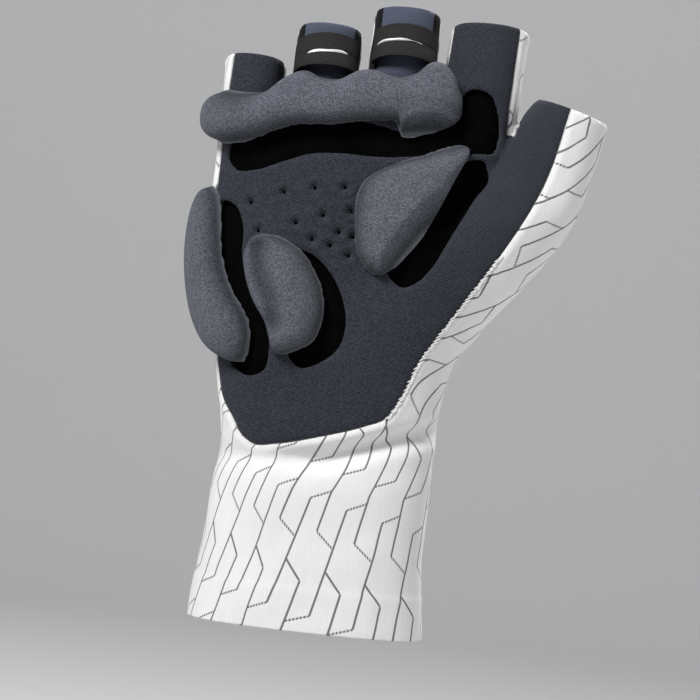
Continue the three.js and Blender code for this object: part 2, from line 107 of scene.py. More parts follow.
FINGER_COLUMNS = "z x y half_width half_depth"
FINGERS = {
    "little": Table(
        FINGER_COLUMNS,
        (138, -33.4, -0.5, 8.8, 10.4),
        (157, -34.0, -0.6, 9.6, 10.8),
        (165, -34.4, -0.1, 9.5, 10.2),
        (172, -34.6, 0.6, 9.4, 9.6),
    ),
    "ring": Table(
        FINGER_COLUMNS,
        (138, -11.4, -1.0, 9.8, 10.8),
        (160, -12.2, -0.8, 10.3, 11.2),
        (172, -12.6, 0.2, 10.2, 10.6),
        (184, -12.6, 1.5, 10.0, 9.9),
    ),
    "middle": Table(
        FINGER_COLUMNS,
        (138, 10.3, -1.0, 10.0, 10.8),
        (160, 10.8, -0.8, 10.6, 11.3),
        (176, 10.8, 0.4, 10.5, 10.8),
        (191.6, 10.8, 2.0, 10.3, 10.1),
    ),
    "index": Table(
        FINGER_COLUMNS,
        (138, 33.6, -1.0, 10.6, 10.8),
        (158, 35.4, -0.8, 11.7, 11.4),
        (174, 36.2, 0.2, 12.0, 11.0),
        (189.3, 36.8, 1.5, 12.1, 10.4),
    ),
}
# The thumb's first column is the length along it, and its lean from upright is in degrees.
THUMB = Table(
    "along x y z half_width half_depth lean",
    (0, 18.2, 0, 97.0, 19.0, 15.0, 30),
    (14, 26.4, -1.0, 108.5, 21.0, 16.5, 40),
    (28, 35.8, -2.5, 118.4, 20.0, 16.5, 42),
    (40, 44.7, -4.0, 126.7, 18.0, 15.2, 38),
    (56, 55.0, -5.0, 139.2, 15.1, 13.4, 30),
    (70, 59.8, -5.0, 152.7, 13.8, 12.2, 21.7),
    (79, 62.3, -4.6, 161.7, 12.8, 11.6, 17),
    (85, 64.4, -4.2, 167.0, 11.5, 11.0, 15),
)


def unit_section(angle, power):
    """A point of a squarish oval whose half axes are 1. A higher power makes it squarer."""
    c, s = math.cos(angle), math.sin(angle)
    return math.copysign(abs(c) ** (2 / power), c), math.copysign(abs(s) ** (2 / power), s)


def swell(mound, x):
    """The share of a mound's height at a place across the palm."""
    return math.exp(-(((x - mound["x"]) / mound["reach"]) ** 2))


def ramp(low, high, value):
    """0 below low, 1 above high and a smooth rise between them, also for arrays."""
    t = np.clip((np.asarray(value, float) - low) / (high - low), 0, 1)
    return t * t * (3 - 2 * t)


def hand_row(z):
    """The hand's row at a height, and the middle and the half of its width."""
    row = HAND.at(min(max(z, HAND.start), HAND.end))
    return row, (row["left"] + row["right"]) / 2, (row["right"] - row["left"]) / 2


def hand_point(z, angle, lift=0):
    """A point of the hand at a height and an angle round its section, lifted off its surface."""
    row, middle, half = hand_row(z)
    across, deep = unit_section(angle, BODY_POWER)
    x = middle + (half + lift) * across
    if deep > 0:
        return Vector((x, (row["back"] + lift) * deep, z))
    mounds = row["thumb_mound"] * swell(THUMB_MOUND, x) + row["heel_mound"] * swell(HEEL_MOUND, x)
    return Vector((x, (row["palm"] + lift + mounds) * deep, z))


def hand_at(turn, height):
    """A point of the cuff and the hand, by shares of the way round and up, past both ends."""
    z = -RUN_ON + height * (HAND.end + RUN_ON)
    point = hand_point(z, turn * 2 * math.pi)
    drop = WEB["drop"] * ((point.x - WEB["x"]) / WEB["reach"]) ** 2
    point.z -= drop * ramp(WEB["from"], HAND.end, z)
    return point


def finger_at(table, turn, height):
    """A point of a finger's tube, by shares of the way round and up, past its rim."""
    z = table.start + height * (table.end + RUN_ON - table.start)
    row = table.at(min(z, table.end))
    across, deep = unit_section(turn * 2 * math.pi, TUBE_POWER)
    return Vector((row["x"] + row["half_width"] * across, row["y"] + row["half_depth"] * deep, z))


def thumb_at(turn, height):
    """A point of the thumb's tube, by shares of the way round and along, past its rim."""
    along = height * (THUMB.end + RUN_ON)
    row = THUMB.at(min(along, THUMB.end))
    past = max(along - THUMB.end, 0)
    across, deep = unit_section(turn * 2 * math.pi, TUBE_POWER)
    out = row["half_width"] * across
    lean = math.radians(row["lean"])
    return Vector((
        row["x"] + out * math.cos(lean) + past * math.sin(lean),
        row["y"] + row["half_depth"] * deep,
        row["z"] - out * math.sin(lean) + past * math.cos(lean),
    ))


def sheet_of(columns, rows, place):
    """A sheet of quads whose point (across, along), both from 0 to 1, goes to place(across, along)."""
    bm = bmesh.new()
    bmesh.ops.create_grid(bm, x_segments=columns, y_segments=rows, size=0.5)
    for v in bm.verts:
        v.co = Vector(place(v.co.x + 0.5, v.co.y + 0.5)) * MM
    bmesh.ops.remove_doubles(bm, verts=bm.verts, dist=0.001 * MM)
    return bm


def open_edges(bm):
    return [e for e in bm.edges if e.is_boundary]


def tube_of(columns, rows, place):
    """A closed tube with flat ends."""
    bm = sheet_of(columns, rows, place)
    bmesh.ops.holes_fill(bm, edges=open_edges(bm), sides=0)
    bmesh.ops.recalc_face_normals(bm, faces=bm.faces)
    return bm


def made(name, bm):
    """An object with the bmesh's mesh, shaded smooth."""
    mesh = bpy.data.meshes.new(name)
    bm.to_mesh(mesh)
    bm.free()
    mesh.polygons.foreach_set("use_smooth", [True] * len(mesh.polygons))
    piece = bpy.data.objects.new(name, mesh)
    bpy.context.scene.collection.objects.link(piece)
    return piece


def modified(piece, kind, **settings):
    modifier = piece.modifiers.new(kind.lower(), kind)
    for key, value in settings.items():
        setattr(modifier, key, value)
    return piece


def settled(piece):
    """Applies the piece's modifiers to its mesh."""
    bpy.context.view_layer.update()
    mesh = bpy.data.meshes.new_from_object(piece.evaluated_get(bpy.context.evaluated_depsgraph_get()))
    piece.modifiers.clear()
    old, piece.data = piece.data, mesh
    mesh.name = piece.name
    bpy.data.meshes.remove(old)


def thrown_away(piece):
    mesh = piece.data
    bpy.data.objects.remove(piece)
    bpy.data.meshes.remove(mesh)


SKIN_VOXEL = 0.9
tubes = [tube_of(120, 150, hand_at), tube_of(64, 70, thumb_at)]
tubes += [tube_of(56, 50, lambda u, v, t=t: finger_at(t, u, v)) for t in FINGERS.values()]
together = bmesh.new()
for bm in tubes:
    part = made("tube", bm)
    together.from_mesh(part.data)
    thrown_away(part)
skin = made("skin", together)
modified(skin, "REMESH", mode="VOXEL", voxel_size=SKIN_VOXEL * MM, use_smooth_shade=True)
modified(skin, "SMOOTH", factor=0.5, iterations=14)
settled(skin)

# Folds that every layer shares: a soft valley where the wrist bends under the palm, the step of
# the hem's stitched edge, and the slow waves of stretched cloth.
WRIST_FOLD = {
    "z": 52.4, "tilt": 0.36, "left_tilt": 0.06, "width": 3.3, "depth": 3.9,
    "front": (4, -8), "across": (-25, 12), "least": 0.35,
}
HEM = {"z": 13.2, "soft": 1.1, "step": 0.32}
WAVES = [{"size": 16, "depth": 0.5}, {"size": 7, "depth": 0.16}]


def wrist_fold(x, y, z):
    """How deep the wrist's fold is at a place: only in front, and deepest on the thumb's side."""
    level = WRIST_FOLD["z"] + WRIST_FOLD["tilt"] * max(x, 0) + WRIST_FOLD["left_tilt"] * min(x, 0)
    fold = WRIST_FOLD["depth"] * math.exp(-(((z - level) / WRIST_FOLD["width"]) ** 2))
    share = WRIST_FOLD["least"] + (1 - WRIST_FOLD["least"]) * float(ramp(*WRIST_FOLD["across"], x))
    return fold * float(ramp(*WRIST_FOLD["front"], y)) * share


def folded(place):
    """How far the cloth stands off the plain form at a place in millimetres."""
    x, y, z = place
    out = -wrist_fold(x, y, z)
    out += HEM["step"] * (1 - float(ramp(HEM["z"] - HEM["soft"], HEM["z"] + HEM["soft"], z)))
    for wave in WAVES:
        out += wave["depth"] * noise.noise(Vector(place) / wave["size"])
    return out


bm = bmesh.new()
bm.from_mesh(skin.data)
bmesh.ops.triangulate(bm, faces=bm.faces)
bm.normal_update()
shifts = [folded(v.co / MM) * MM for v in bm.verts]
for v, shift in zip(list(bm.verts), shifts):
    v.co += v.normal * shift
bm.to_mesh(skin.data)
bm.free()
skin_surface = BVHTree.FromObject(skin, bpy.context.evaluated_depsgraph_get())


def curve_through(points, closed=False, step=1.0):
    """Points every step along a smooth curve through the given ones."""
    points = np.array(points, float)
    if closed:
        points = np.vstack([points[-3:], points, points[:4]])
    lengths = np.hypot(*np.diff(points, axis=0).T)
    along = np.concatenate([[0], np.cumsum(lengths)])
    slopes = np.gradient(points, along, axis=0)
    first, last = (along[3], along[-4]) if closed else (along[0], along[-1])
    count = max(8, round((last - first) / step))
    places = np.linspace(first, last, count, endpoint=not closed)
    i = np.clip(np.searchsorted(along, places, side="right") - 1, 0, len(lengths) - 1)
    t = ((places - along[i]) / lengths[i])[:, None]
    span = lengths[i][:, None]
    return [tuple(p) for p in between(t, span, points, slopes, i)]


def grown(outline, distance):
    """A closed outline moved outwards by a distance, or inwards where it is negative."""
    points = np.array(outline, float)
    before, after = points - np.roll(points, 1, 0), np.roll(points, -1, 0) - points
    area = np.sum(points[:, 0] * np.roll(points[:, 1], -1) - np.roll(points[:, 0], -1) * points[:, 1])
    before /= np.linalg.norm(before, axis=1)[:, None]
    after /= np.linalg.norm(after, axis=1)[:, None]
    along = before + after
    along /= np.linalg.norm(along, axis=1)[:, None]
    reach = math.copysign(distance, area * distance) / np.sum(along * after, axis=1)
    return [tuple(p) for p in points + np.stack([along[:, 1], -along[:, 0]], 1) * reach[:, None]]


IN_FRONT = -60


def cutter(outline, back):
    """The block from well in front of the palm to a depth, behind an outline seen from the palm."""
    bm = bmesh.new()
    face = bm.faces.new([bm.verts.new(Vector((x, IN_FRONT, z)) * MM) for x, z in outline])
    moved = bmesh.ops.extrude_face_region(bm, geom=[face])["geom"]
    along = Vector((0, back - IN_FRONT, 0)) * MM
    bmesh.ops.translate(bm, verts=[v for v in moved if isinstance(v, bmesh.types.BMVert)], vec=along)
    bmesh.ops.recalc_face_normals(bm, faces=bm.faces)
    return made("cutter", bm)


def cut(piece, tool, operation):
    """Cuts, joins or keeps what a tool encloses, and throws the tool away."""
    modified(piece, "BOOLEAN", operation=operation, solver="MANIFOLD", object=tool)
    settled(piece)
    thrown_away(tool)
    return piece


def copy_of(piece, name):
    twin = bpy.data.objects.new(name, piece.data.copy())
    bpy.context.scene.collection.objects.link(twin)
    return twin


def opened(bm, surface, slack=0.04):
    """Takes away what a cutter left inside the form, so that only the skin stays."""
    inside = [f for f in bm.faces if surface.find_nearest(f.calc_center_median())[3] > slack * MM]
    bmesh.ops.delete(bm, geom=inside, context="FACES")
    loose = [v for v in bm.verts if not v.link_faces]
    bmesh.ops.delete(bm, geom=loose, context="VERTS")
    bmesh.ops.remove_doubles(bm, verts=bm.verts, dist=0.03 * MM)


RIM_SLOPE = math.radians(10.5)
RIM_BAND = 5
ANYWHERE = 200


def trimmed(bm):
    """Cuts the cuff, the finger tubes and the thumb tube open at their rims.

    Each rim cuts only the faces within its reach across, and those in a band below it.
    """
    rims = [(Vector((0, 0, 0)), Vector((0, 0, -1)), ANYWHERE)]
    slope = Vector((0, math.sin(RIM_SLOPE), math.cos(RIM_SLOPE)))
    for table in FINGERS.values():
        row = table.at(table.end)
        rims.append((Vector((row["x"], row["y"], table.end)), slope, row["half_width"] + 1))
    tip = THUMB.at(THUMB.end)
    lean = math.radians(tip["lean"])
    outwards = Vector((math.sin(lean), 0, math.cos(lean)))
    rims.append((Vector((tip["x"], tip["y"], tip["z"])), outwards, tip["half_width"] + 3))
    for middle, normal, reach in rims:
        near = []
        for f in bm.faces:
            place = f.calc_center_median() / MM - middle
            up = place.dot(normal)
            if up > -RIM_BAND and abs((place - normal * up).x) < reach:
                near.append(f)
        edges = dict.fromkeys(e for f in near for e in f.edges)
        verts = dict.fromkeys(v for f in near for v in f.verts)
        geom = [*near, *edges, *verts]
        bmesh.ops.bisect_plane(bm, geom=geom, plane_co=middle * MM, plane_no=normal, clear_outer=True)


# Seam
# The palm fabric and the knit meet along one sewn line: from the little finger's opening down the
# side, round the heel of the hand, up along the thumb, and down and up again beside the index.
CLOTH = 1.6
SEAM_GAP = 0.3
PALM_SEAM = [
    (-41.2, 176), (-41.9, 162), (-42.1, 134), (-41.6, 112), (-38.7, 93), (-35.4, 76), (-32.9, 67.2),
    (-29.1, 62), (-25.4, 57), (-21.6, 54.8), (-14.9, 55.6), (-1.6, 59.4), (11.5, 64), (17.6, 67),
    (21.3, 73), (26.1, 85.4), (31.3, 94.3), (39, 107.1), (46.7, 120.3), (53, 132.4), (57.8, 144),
    (60.9, 156), (64, 172),
]
INDEX_SEAM = [
    (66, 184), (51.4, 184), (49.6, 168), (48, 161), (47, 157.6), (45.2, 157.6), (45, 166),
    (45.3, 178), (46.2, 204), (-41.2, 204),
]
SIDE_SEAM_Y = -1
seam = curve_through(PALM_SEAM) + INDEX_SEAM
# The side walls of the two middle fingers wrap round as far as the widest place of their tubes.
SIDE_WALL_BLOCK = [(-23.4, 158.5), (22, 158.5), (22, 210), (-23.4, 210)]
SIDE_WALL_Y = 0.9


def palm_side(distance):
    """The block in front of the sewn line, grown by a distance."""
    block = cutter(grown(seam, distance), SIDE_SEAM_Y + distance)
    return cut(block, cutter(SIDE_WALL_BLOCK, SIDE_WALL_Y + distance), "UNION")


EDGE_REACH = 1.3
EDGE_WELD = 0.16
SLIVER = 0.05


def finished_cloth(piece, surface, sink, swell):
    """Opens the cut form, shapes the cloth beside its edges and gives it its thickness inwards.

    The edge itself sinks, and the cloth beside it swells. The cuff's mouth is left as it is.
    """
    bm = bmesh.new()
    bm.from_mesh(piece.data)
    opened(bm, surface)
    trimmed(bm)
    bmesh.ops.remove_doubles(bm, verts=[v for v in bm.verts if v.is_boundary], dist=EDGE_WELD * MM)
    bmesh.ops.dissolve_degenerate(bm, edges=bm.edges, dist=SLIVER * MM)
    bm.normal_update()
    rim = [v for v in bm.verts if v.is_boundary and v.co.z > 3 * MM]
    tree = KDTree(len(rim))
    for i, v in enumerate(rim):
        tree.insert(v.co, i)
    tree.balance()
    for v in bm.verts:
        away = tree.find(v.co)[2] / MM / EDGE_REACH
        if away < 4:
            out = swell * math.exp(-((away - 1.2) ** 2)) - sink * math.exp(-3 * away**2)
            v.co += v.normal * out * MM
    bm.to_mesh(piece.data)
    bm.free()
    piece.data.materials.clear()
    piece.data.polygons.foreach_set("use_smooth", [True] * len(piece.data.polygons))
    modified(piece, "SOLIDIFY", thickness=CLOTH * MM, offset=-1, use_even_offset=False)
    settled(piece)


# White knit
# The back of the hand, the outside of the thumb and the long cuff are one stretchy white knit with
# a pattern of thin dark lines knitted in. It is one tube sewn up along the little finger's side.
knit = copy_of(skin, "white_knit")
cut(knit, palm_side(SEAM_GAP / 2), "DIFFERENCE")
finished_cloth(knit, skin_surface, sink=0.45, swell=0.28)

# How the stretched cloth lies: where it is joined, the width that KNIT_WIDTH of it takes up at each
# height, its twist above the wrist, its crowding on the little finger's side, the flat stretch
# behind the fingers, and how it turns, shears and stretches on the thumb.
KNIT_JOIN = math.radians(150)
KNIT_WIDTH = 11.85
KNIT_STRETCH = Table("z width", (0, 13.05), (38, 11.15), (60, 10.1), (100, 11.5), (162, 11.85))
KNIT_TWIST = {"from": 43, "to": 62, "slope": 0.28, "left": -17, "right": 0}
KNIT_CROWDED = {"left_of": -11.5, "by": 0.36}
FLAT_BACK = {"from": 148, "to": 158, "inner": 0.84, "outer": 0.97}
THUMB_TURN = {"from": -27, "to": 2, "behind": (-0.2, 0.55), "before": (-0.9, -0.1), "front": (1, -3)}
THUMB_START = {"height": 90.2, "edge": 84, "aside": -12.8}
THUMB_SHEAR = {"slope": 0.415, "bend": 0.003, "bend_from": 25, "rise": 0.165}
THUMB_STRETCH = {"round": 1.03, "along": 0.965}
girths = {}


def girth_at(level, angle):
    """The length round the hand's section at a whole height, from the palm's middle to an angle."""
    if level not in girths:
        turns = np.linspace(KNIT_JOIN - 2 * math.pi, KNIT_JOIN + 0.3, 253)
        points = np.array([hand_point(level, a) for a in turns])
        lengths = np.concatenate([[0], np.cumsum(np.linalg.norm(np.diff(points, axis=0), axis=1))])
        girths[level] = turns, lengths - np.interp(-math.pi / 2, turns, lengths)
    return float(np.interp(angle, *girths[level]))


def girth_to(z, angle):
    """The cloth across from the middle of the palm to an angle round the hand's section."""
    z = min(max(z, HAND.start), HAND.end - 1)
    level = math.floor(z)
    lower, upper = girth_at(level, angle), girth_at(level + 1, angle)
    across = (lower + (upper - lower) * (z - level)) * KNIT_WIDTH / KNIT_STRETCH.at(z)["width"]
    twist = KNIT_TWIST["slope"] * (min(max(z, KNIT_TWIST["from"]), KNIT_TWIST["to"]) - KNIT_TWIST["from"])
    across -= twist * float(ramp(KNIT_TWIST["left"], KNIT_TWIST["right"], across))
    return across - KNIT_CROWDED["by"] * max(KNIT_CROWDED["left_of"] - across, 0)


def section_angle(across, deep, power):
    """The angle that gives these two shares of a section, as unit_section does the other way."""
    return math.atan2(
        math.copysign(abs(deep) ** (power / 2), deep), math.copysign(abs(across) ** (power / 2), across)
    )


def thumb_step(along):
    """The thumb's row at a length along it, also below its base, down to the wrist."""
    row = dict(THUMB.at(max(along, 0)), along=along)
    lean = math.radians(row["lean"])
    row["x"] += min(along, 0) * math.sin(lean)
    row["z"] += min(along, 0) * math.cos(lean)
    return row


thumb_steps = [thumb_step(s) for s in range(-30, int(THUMB.end) + 1)]
thumb_axis = np.array([(r["x"], r["z"]) for r in thumb_steps])


def unfolded(x, y, z):
    """Where a point of the skin was before the wrist's fold was pressed in."""
    row, middle, half = hand_row(z)
    out = Vector(((x - middle) / half**2, y / row["palm"] ** 2)).normalized() * wrist_fold(x, y, z)
    return x + out.x, y + out.y


def near_the_thumb(x, y, z):
    """The thumb's nearest row, the places across and past it, and the share of its own map."""
    i = int(np.argmin(np.hypot(*(thumb_axis - (x, z)).T)))
    step, lean = thumb_steps[i], math.radians(thumb_steps[i]["lean"])
    out = (x - step["x"]) * math.cos(lean) - (z - step["z"]) * math.sin(lean)
    past = (x - step["x"]) * math.sin(lean) + (z - step["z"]) * math.cos(lean)
    out_share = out / step["half_width"]
    behind = float(ramp(*THUMB_TURN["behind"], out_share))
    before = float(ramp(*THUMB_TURN["before"], out_share))
    near = behind + (before - behind) * float(ramp(*THUMB_TURN["front"], y))
    share = float(ramp(THUMB_TURN["from"], THUMB_TURN["to"], step["along"])) * near
    return step, out_share, past, share


def on_the_thumb(step, out_share, past, y):
    """Where a point of the thumb lies on the knit."""
    turn = section_angle(out_share, (y - step["y"]) / step["half_depth"], TUBE_POWER)
    along = step["along"] + past
    round_it = turn * (step["half_width"] + step["half_depth"]) / 2
    u = girth_to(THUMB_START["edge"], 0) + THUMB_START["aside"] + THUMB_STRETCH["round"] * round_it
    u -= THUMB_SHEAR["slope"] * along
    u -= THUMB_SHEAR["bend"] * max(along - THUMB_SHEAR["bend_from"], 0) ** 2
    v = THUMB_START["height"] + along * THUMB_STRETCH["along"] + round_it * THUMB_SHEAR["rise"]
    return u, v


def on_the_knit(place, past_join=False):
    """Where a point of the glove lies on the knit before it was stretched: across and along, in mm."""
    z = place.z
    row, middle, half = hand_row(z)
    x, y = unfolded(*place)
    across = (x - middle) / half
    angle = section_angle(across, y / (row["back"] if y > 0 else row["palm"]), BODY_POWER)
    if y > 0 and z > FLAT_BACK["from"]:
        flat = math.acos(math.copysign(min(abs(across), 1) ** (BODY_POWER / 2), across))
        sideways = 1 - ramp(FLAT_BACK["inner"], FLAT_BACK["outer"], abs(across))
        angle += (flat - angle) * float(ramp(FLAT_BACK["from"], FLAT_BACK["to"], z) * sideways)
    if angle > KNIT_JOIN and not past_join:
        angle -= 2 * math.pi
    beyond = max(x - row["right"], 0)
    u, v = girth_to(z, angle) - beyond * min(max(y / 3, -1), 1), z
    step, out_share, past, share = near_the_thumb(x, y, z)
    if share > 0:
        thumb_u, thumb_v = on_the_thumb(step, out_share, past, y)
        u, v = u + (thumb_u - u) * share, v + (thumb_v - v) * share
    return u, v


def laid_out(piece, where, half_round=60):
    """Gives the piece a UV map in millimetres of cloth, without a jump inside any face."""
    mesh = piece.data
    places = [where(v.co / MM) for v in mesh.vertices]
    layer = mesh.uv_layers.new(name="cloth")
    flat = np.zeros((len(mesh.loops), 2), np.float32)
    for face in mesh.polygons:
        highest = max(places[i][0] for i in face.vertices)
        for loop, i in zip(face.loop_indices, face.vertices):
            corner = places[i]
            if highest - corner[0] > half_round:
                corner = where(mesh.vertices[i].co / MM, past_join=True)
            flat[loop] = corner
    layer.uv.foreach_set("vector", flat.ravel())


laid_out(knit, on_the_knit)


class Wire:
    """A number or a colour on its way through a material. Sums and products of it add Math nodes."""

    def __init__(self, tree, socket=None):
        self.tree = tree
        self.socket = socket

    def node(self, kind, settings, sockets, output=0):
        """The output of a new node, whose settings are set before its sockets."""
        new = self.tree.nodes.new(kind)
        for key, value in settings.items():
            setattr(new, key, value)
        for key, value in sockets.items():
            if isinstance(value, Wire):
                self.tree.links.new(value.socket, new.inputs[key])
            else:
                new.inputs[key].default_value = value
        return Wire(self.tree, new.outputs[output])

    def maths(self, operation, *others):
        return self.node("ShaderNodeMath", {"operation": operation}, dict(enumerate((self, *others))))

    def mixed(self, low, high):
        """A colour between two others, by this number as the share of the second."""
        sockets = {0: self, 6: low, 7: high}
        return self.node("ShaderNodeMix", {"data_type": "RGBA"}, sockets, output=2)

    def smooth(self, low, high):
        """0 below low, 1 above high and a smooth rise between them."""
        settings = {"interpolation_type": "SMOOTHSTEP"}
        return self.node("ShaderNodeMapRange", settings, {0: self, 1: low, 2: high, 3: 0, 4: 1})

    def __add__(self, other):
        return self.maths("ADD", other)

    def __sub__(self, other):
        return self.maths("SUBTRACT", other)

    def __mul__(self, other):
        return self.maths("MULTIPLY", other)

    def __truediv__(self, other):
        return self.maths("DIVIDE", other)

    def __rsub__(self, other):
        return self * -1 + other

    def __abs__(self):
        return self.maths("ABSOLUTE")

    def __lt__(self, other):
        return self.maths("LESS_THAN", other)

    def __gt__(self, other):
        return self.maths("GREATER_THAN", other)

    __radd__, __rmul__ = __add__, __mul__


def cloth_material(name):
    """A new material, the start of its wires, and the place in space in millimetres."""
    material = bpy.data.materials.new(name)
    material.use_nodes = True
    start = Wire(material.node_tree)
    place = start.node("ShaderNodeTexCoord", {}, {}, output="Object")
    place = start.node("ShaderNodeVectorMath", {"operation": "SCALE"}, {0: place, "Scale": 1 / MM})
    return material, start, place


def parts(vector):
    """The three numbers of a vector."""
    return [vector.node("ShaderNodeSeparateXYZ", {}, {0: vector}, output=i) for i in range(3)]


def on_cloth(start):
    """The two numbers of the cloth's own map."""
    return parts(start.node("ShaderNodeUVMap", {"uv_map": "cloth"}, {}))[:2]


def speckle(place, size, stretch=(1, 1, 1)):
    """Even noise from 0 to 1 with grains of a size in millimetres."""
    scaled = place.node("ShaderNodeVectorMath", {"operation": "MULTIPLY"}, {0: place, 1: stretch})
    sockets = {"Vector": scaled, "Scale": 1 / size, "Detail": 2.0, "Roughness": 0.6}
    return place.node("ShaderNodeTexNoise", {}, sockets)


def dressed(material, colour, roughness, height, relief, sheen=0.0, gloss=0.25):
    """Joins the wires to the shader. The height, from 0 to 1, stands for a relief in millimetres."""
    shader = material.node_tree.nodes["Principled BSDF"]
    material.node_tree.links.new(colour.socket, shader.inputs["Base Color"])
    shader.inputs["Roughness"].default_value = roughness
    if height is not None:
        sockets = {"Height": height, "Distance": relief * MM, "Strength": 1.0}
        bump = height.node("ShaderNodeBump", {}, sockets)
        material.node_tree.links.new(bump.socket, shader.inputs["Normal"])
    shader.inputs["Sheen Weight"].default_value = sheen
    shader.inputs["Sheen Roughness"].default_value = 0.5
    shader.inputs["Specular IOR Level"].default_value = gloss


# The knitted pattern is a lattice of two kinds of long slanted line, joined by short links. Its
# steps and its lines are in millimetres of cloth: across to the right, and up.
STEP_ACROSS = (12.1, -2.7)
STEP_DOWN = (1.75, -48.6)
LONG_LINES = [
    {"start": (0, 0), "run": (-8, -32.9)},
    {"start": (10.7, 20.5), "run": (-7.3, -30.4)},
]
LINKS = [
    {"start": (0, 0), "run": (6.4, 2.65), "dotted": True},
    {"start": (3.4, -9.9), "run": (5.7, -5), "dotted": True},
    {"start": (-4.64, -19.1), "run": (5, -6.3), "dotted": False},
    {"start": (-8, -32.9), "run": (-6.7, -2.3), "dotted": True},
]
LINE_WIDTH = 0.58
DOTS = {"pitch": 1.05, "drawn": 0.62, "between": 0.25}
PATTERN_AT = (-2.7, 40.8)
KNIT_PITCH = 0.62
lattice_area = STEP_ACROSS[0] * STEP_DOWN[1] - STEP_DOWN[0] * STEP_ACROSS[1]


def in_lattice(x, y):
    """Millimetres of cloth as steps across and steps down, for numbers or wires."""
    s = (x * STEP_DOWN[1] - y * STEP_DOWN[0]) / lattice_area
    t = (y * STEP_ACROSS[0] - x * STEP_ACROSS[1]) / lattice_area
    return s, t


def pattern(u, v):
    """1 on the pattern's lines and 0 beside them."""
    s, t = in_lattice(u - PATTERN_AT[0], v - PATTERN_AT[1])
    drawn = 0
    for line in LONG_LINES + LINKS:
        start, run = in_lattice(*line["start"]), in_lattice(*line["run"])
        if line in LONG_LINES:
            main, side, begin, aside, length, drift = t, s, start[1], start[0], run[1], run[0]
            step = STEP_ACROSS
        else:
            main, side, begin, aside, length, drift = s, t, start[0], start[1], run[0], run[1]
            step = STEP_DOWN
        along = (main - begin) * math.copysign(1, length)
        along = along - along.maths("FLOOR")
        off = side - aside - along * (drift / abs(length))
        off = abs(off - off.maths("ROUND"))
        mm = abs(step[0] * line["run"][1] - step[1] * line["run"][0]) / math.hypot(*line["run"])
        here = (off * mm).smooth(LINE_WIDTH * 0.75, LINE_WIDTH * 0.35) * (along < abs(length))
        if line.get("dotted"):
            dots = (along * (math.hypot(*line["run"]) / abs(length) / DOTS["pitch"])).maths("FRACT")
            here = here * (DOTS["between"] + (1 - DOTS["between"]) * (dots < DOTS["drawn"]))
        drawn = here + drawn if isinstance(drawn, int) else drawn.maths("MAXIMUM", here)
    return drawn


material, start, place = cloth_material("white_knit")
u, v = on_cloth(start)
lines = pattern(u, v)
wales = (u * (2 * math.pi / KNIT_PITCH)).maths("SINE") * 0.5 + 0.5
courses = (v * (2 * math.pi / (KNIT_PITCH * 0.8))).maths("SINE") * 0.5 + 0.5
stitch = wales * 0.65 + courses * 0.35
streaks = speckle(place, 0.8, stretch=(1, 1, 0.08))
cloud = speckle(place, 14)
lines = lines * (0.72 + 0.28 * courses)
white = (streaks * 0.5 + cloud * 0.3 + stitch * 0.2).mixed((0.70, 0.70, 0.695, 1), (0.86, 0.86, 0.855, 1))
colour = lines.mixed(white, (0.055, 0.056, 0.06, 1))
dressed(material, colour, 0.92, stitch * 0.6 + streaks * 0.4 - lines * 0.25, 0.10, sheen=0.15)
knit.data.materials.append(material)
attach(knit, "root")
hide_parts("back_of_hand", "cuff", "thumb_gusset", "finger_backs")

# Palm fabric
# A dark slate twill, cut in one piece and sewn to the knit along its edge. It has four windows
# that show the lining, and small perforations pressed into the middle of the palm.
WINDOWS = {
    "metacarpal": [
        (-39.6, 146), (-39.4, 140.2), (-35.8, 137.4), (-31.5, 137.9), (-21.7, 141.8), (-14, 144.8),
        (-6.5, 145.8), (6.9, 146.1), (24, 148.6), (35.6, 150.4), (42.4, 152), (43.4, 156.5),
        (41.6, 164.2), (38.8, 168.8), (33.5, 170.3), (29, 167.5), (27.2, 159.5), (22, 155.5),
        (0, 156.5), (-24, 156), (-36.5, 153),
    ],
    "thumb_web": [
        (39.6, 147.6), (40.6, 143.6), (37, 136.8), (33.3, 129), (29.6, 121), (26.4, 114.2),
        (22.6, 109.4), (18, 107.2), (13.4, 110.4), (10, 119), (9.6, 129), (13.5, 138), (25, 144),
    ],
    "outer_heel": [
        (-39.1, 128), (-35.4, 126.6), (-32.8, 122), (-31.5, 111), (-27.6, 99.6), (-21.6, 90.8),
        (-20, 84), (-21.2, 77.2), (-26, 75.3), (-31.2, 78), (-35.3, 89), (-38.3, 102), (-39.4, 116),
    ],
    "inner_heel": [
        (-17, 115.2), (-10.6, 114.3), (-4.4, 109.6), (0.2, 102.4), (2.3, 94), (1, 87), (-3.8, 82),
        (-10.4, 79.6), (-13.5, 82), (-15, 89), (-19.4, 97), (-22.6, 106), (-21.6, 112.6),
    ],
}
PERFORATIONS = [
    (-30.7, 128), (-20.9, 132.2), (-11.7, 134.4), (-2.6, 135.6), (-16.3, 123.2), (-8.2, 126.4),
    (0, 128.6), (-27.5, 119.6), (-2.9, 121.8), (-10.8, 118.7), (-5.1, 117.5), (1.5, 120.8),
    (0.8, 115),
]
PERFORATION = {"hole": 0.42, "sides": 12, "dimple": 2.4, "steep": 1.6, "depth": 0.75}
PERFORATION_RIM = {"height": 0.16, "at": 1.15, "width": 0.3}
FINE_REACH = 3.4


def near_points(bm, points, reach):
    """The faces on the palm side that lie within reach of one of the points seen from the palm."""
    found = []
    for f in bm.faces:
        place = f.calc_center_median() / MM
        if place.y < 0 and any(abs(place.x - x) < reach and abs(place.z - z) < reach for x, z in points):
            found.append(f)
    return found


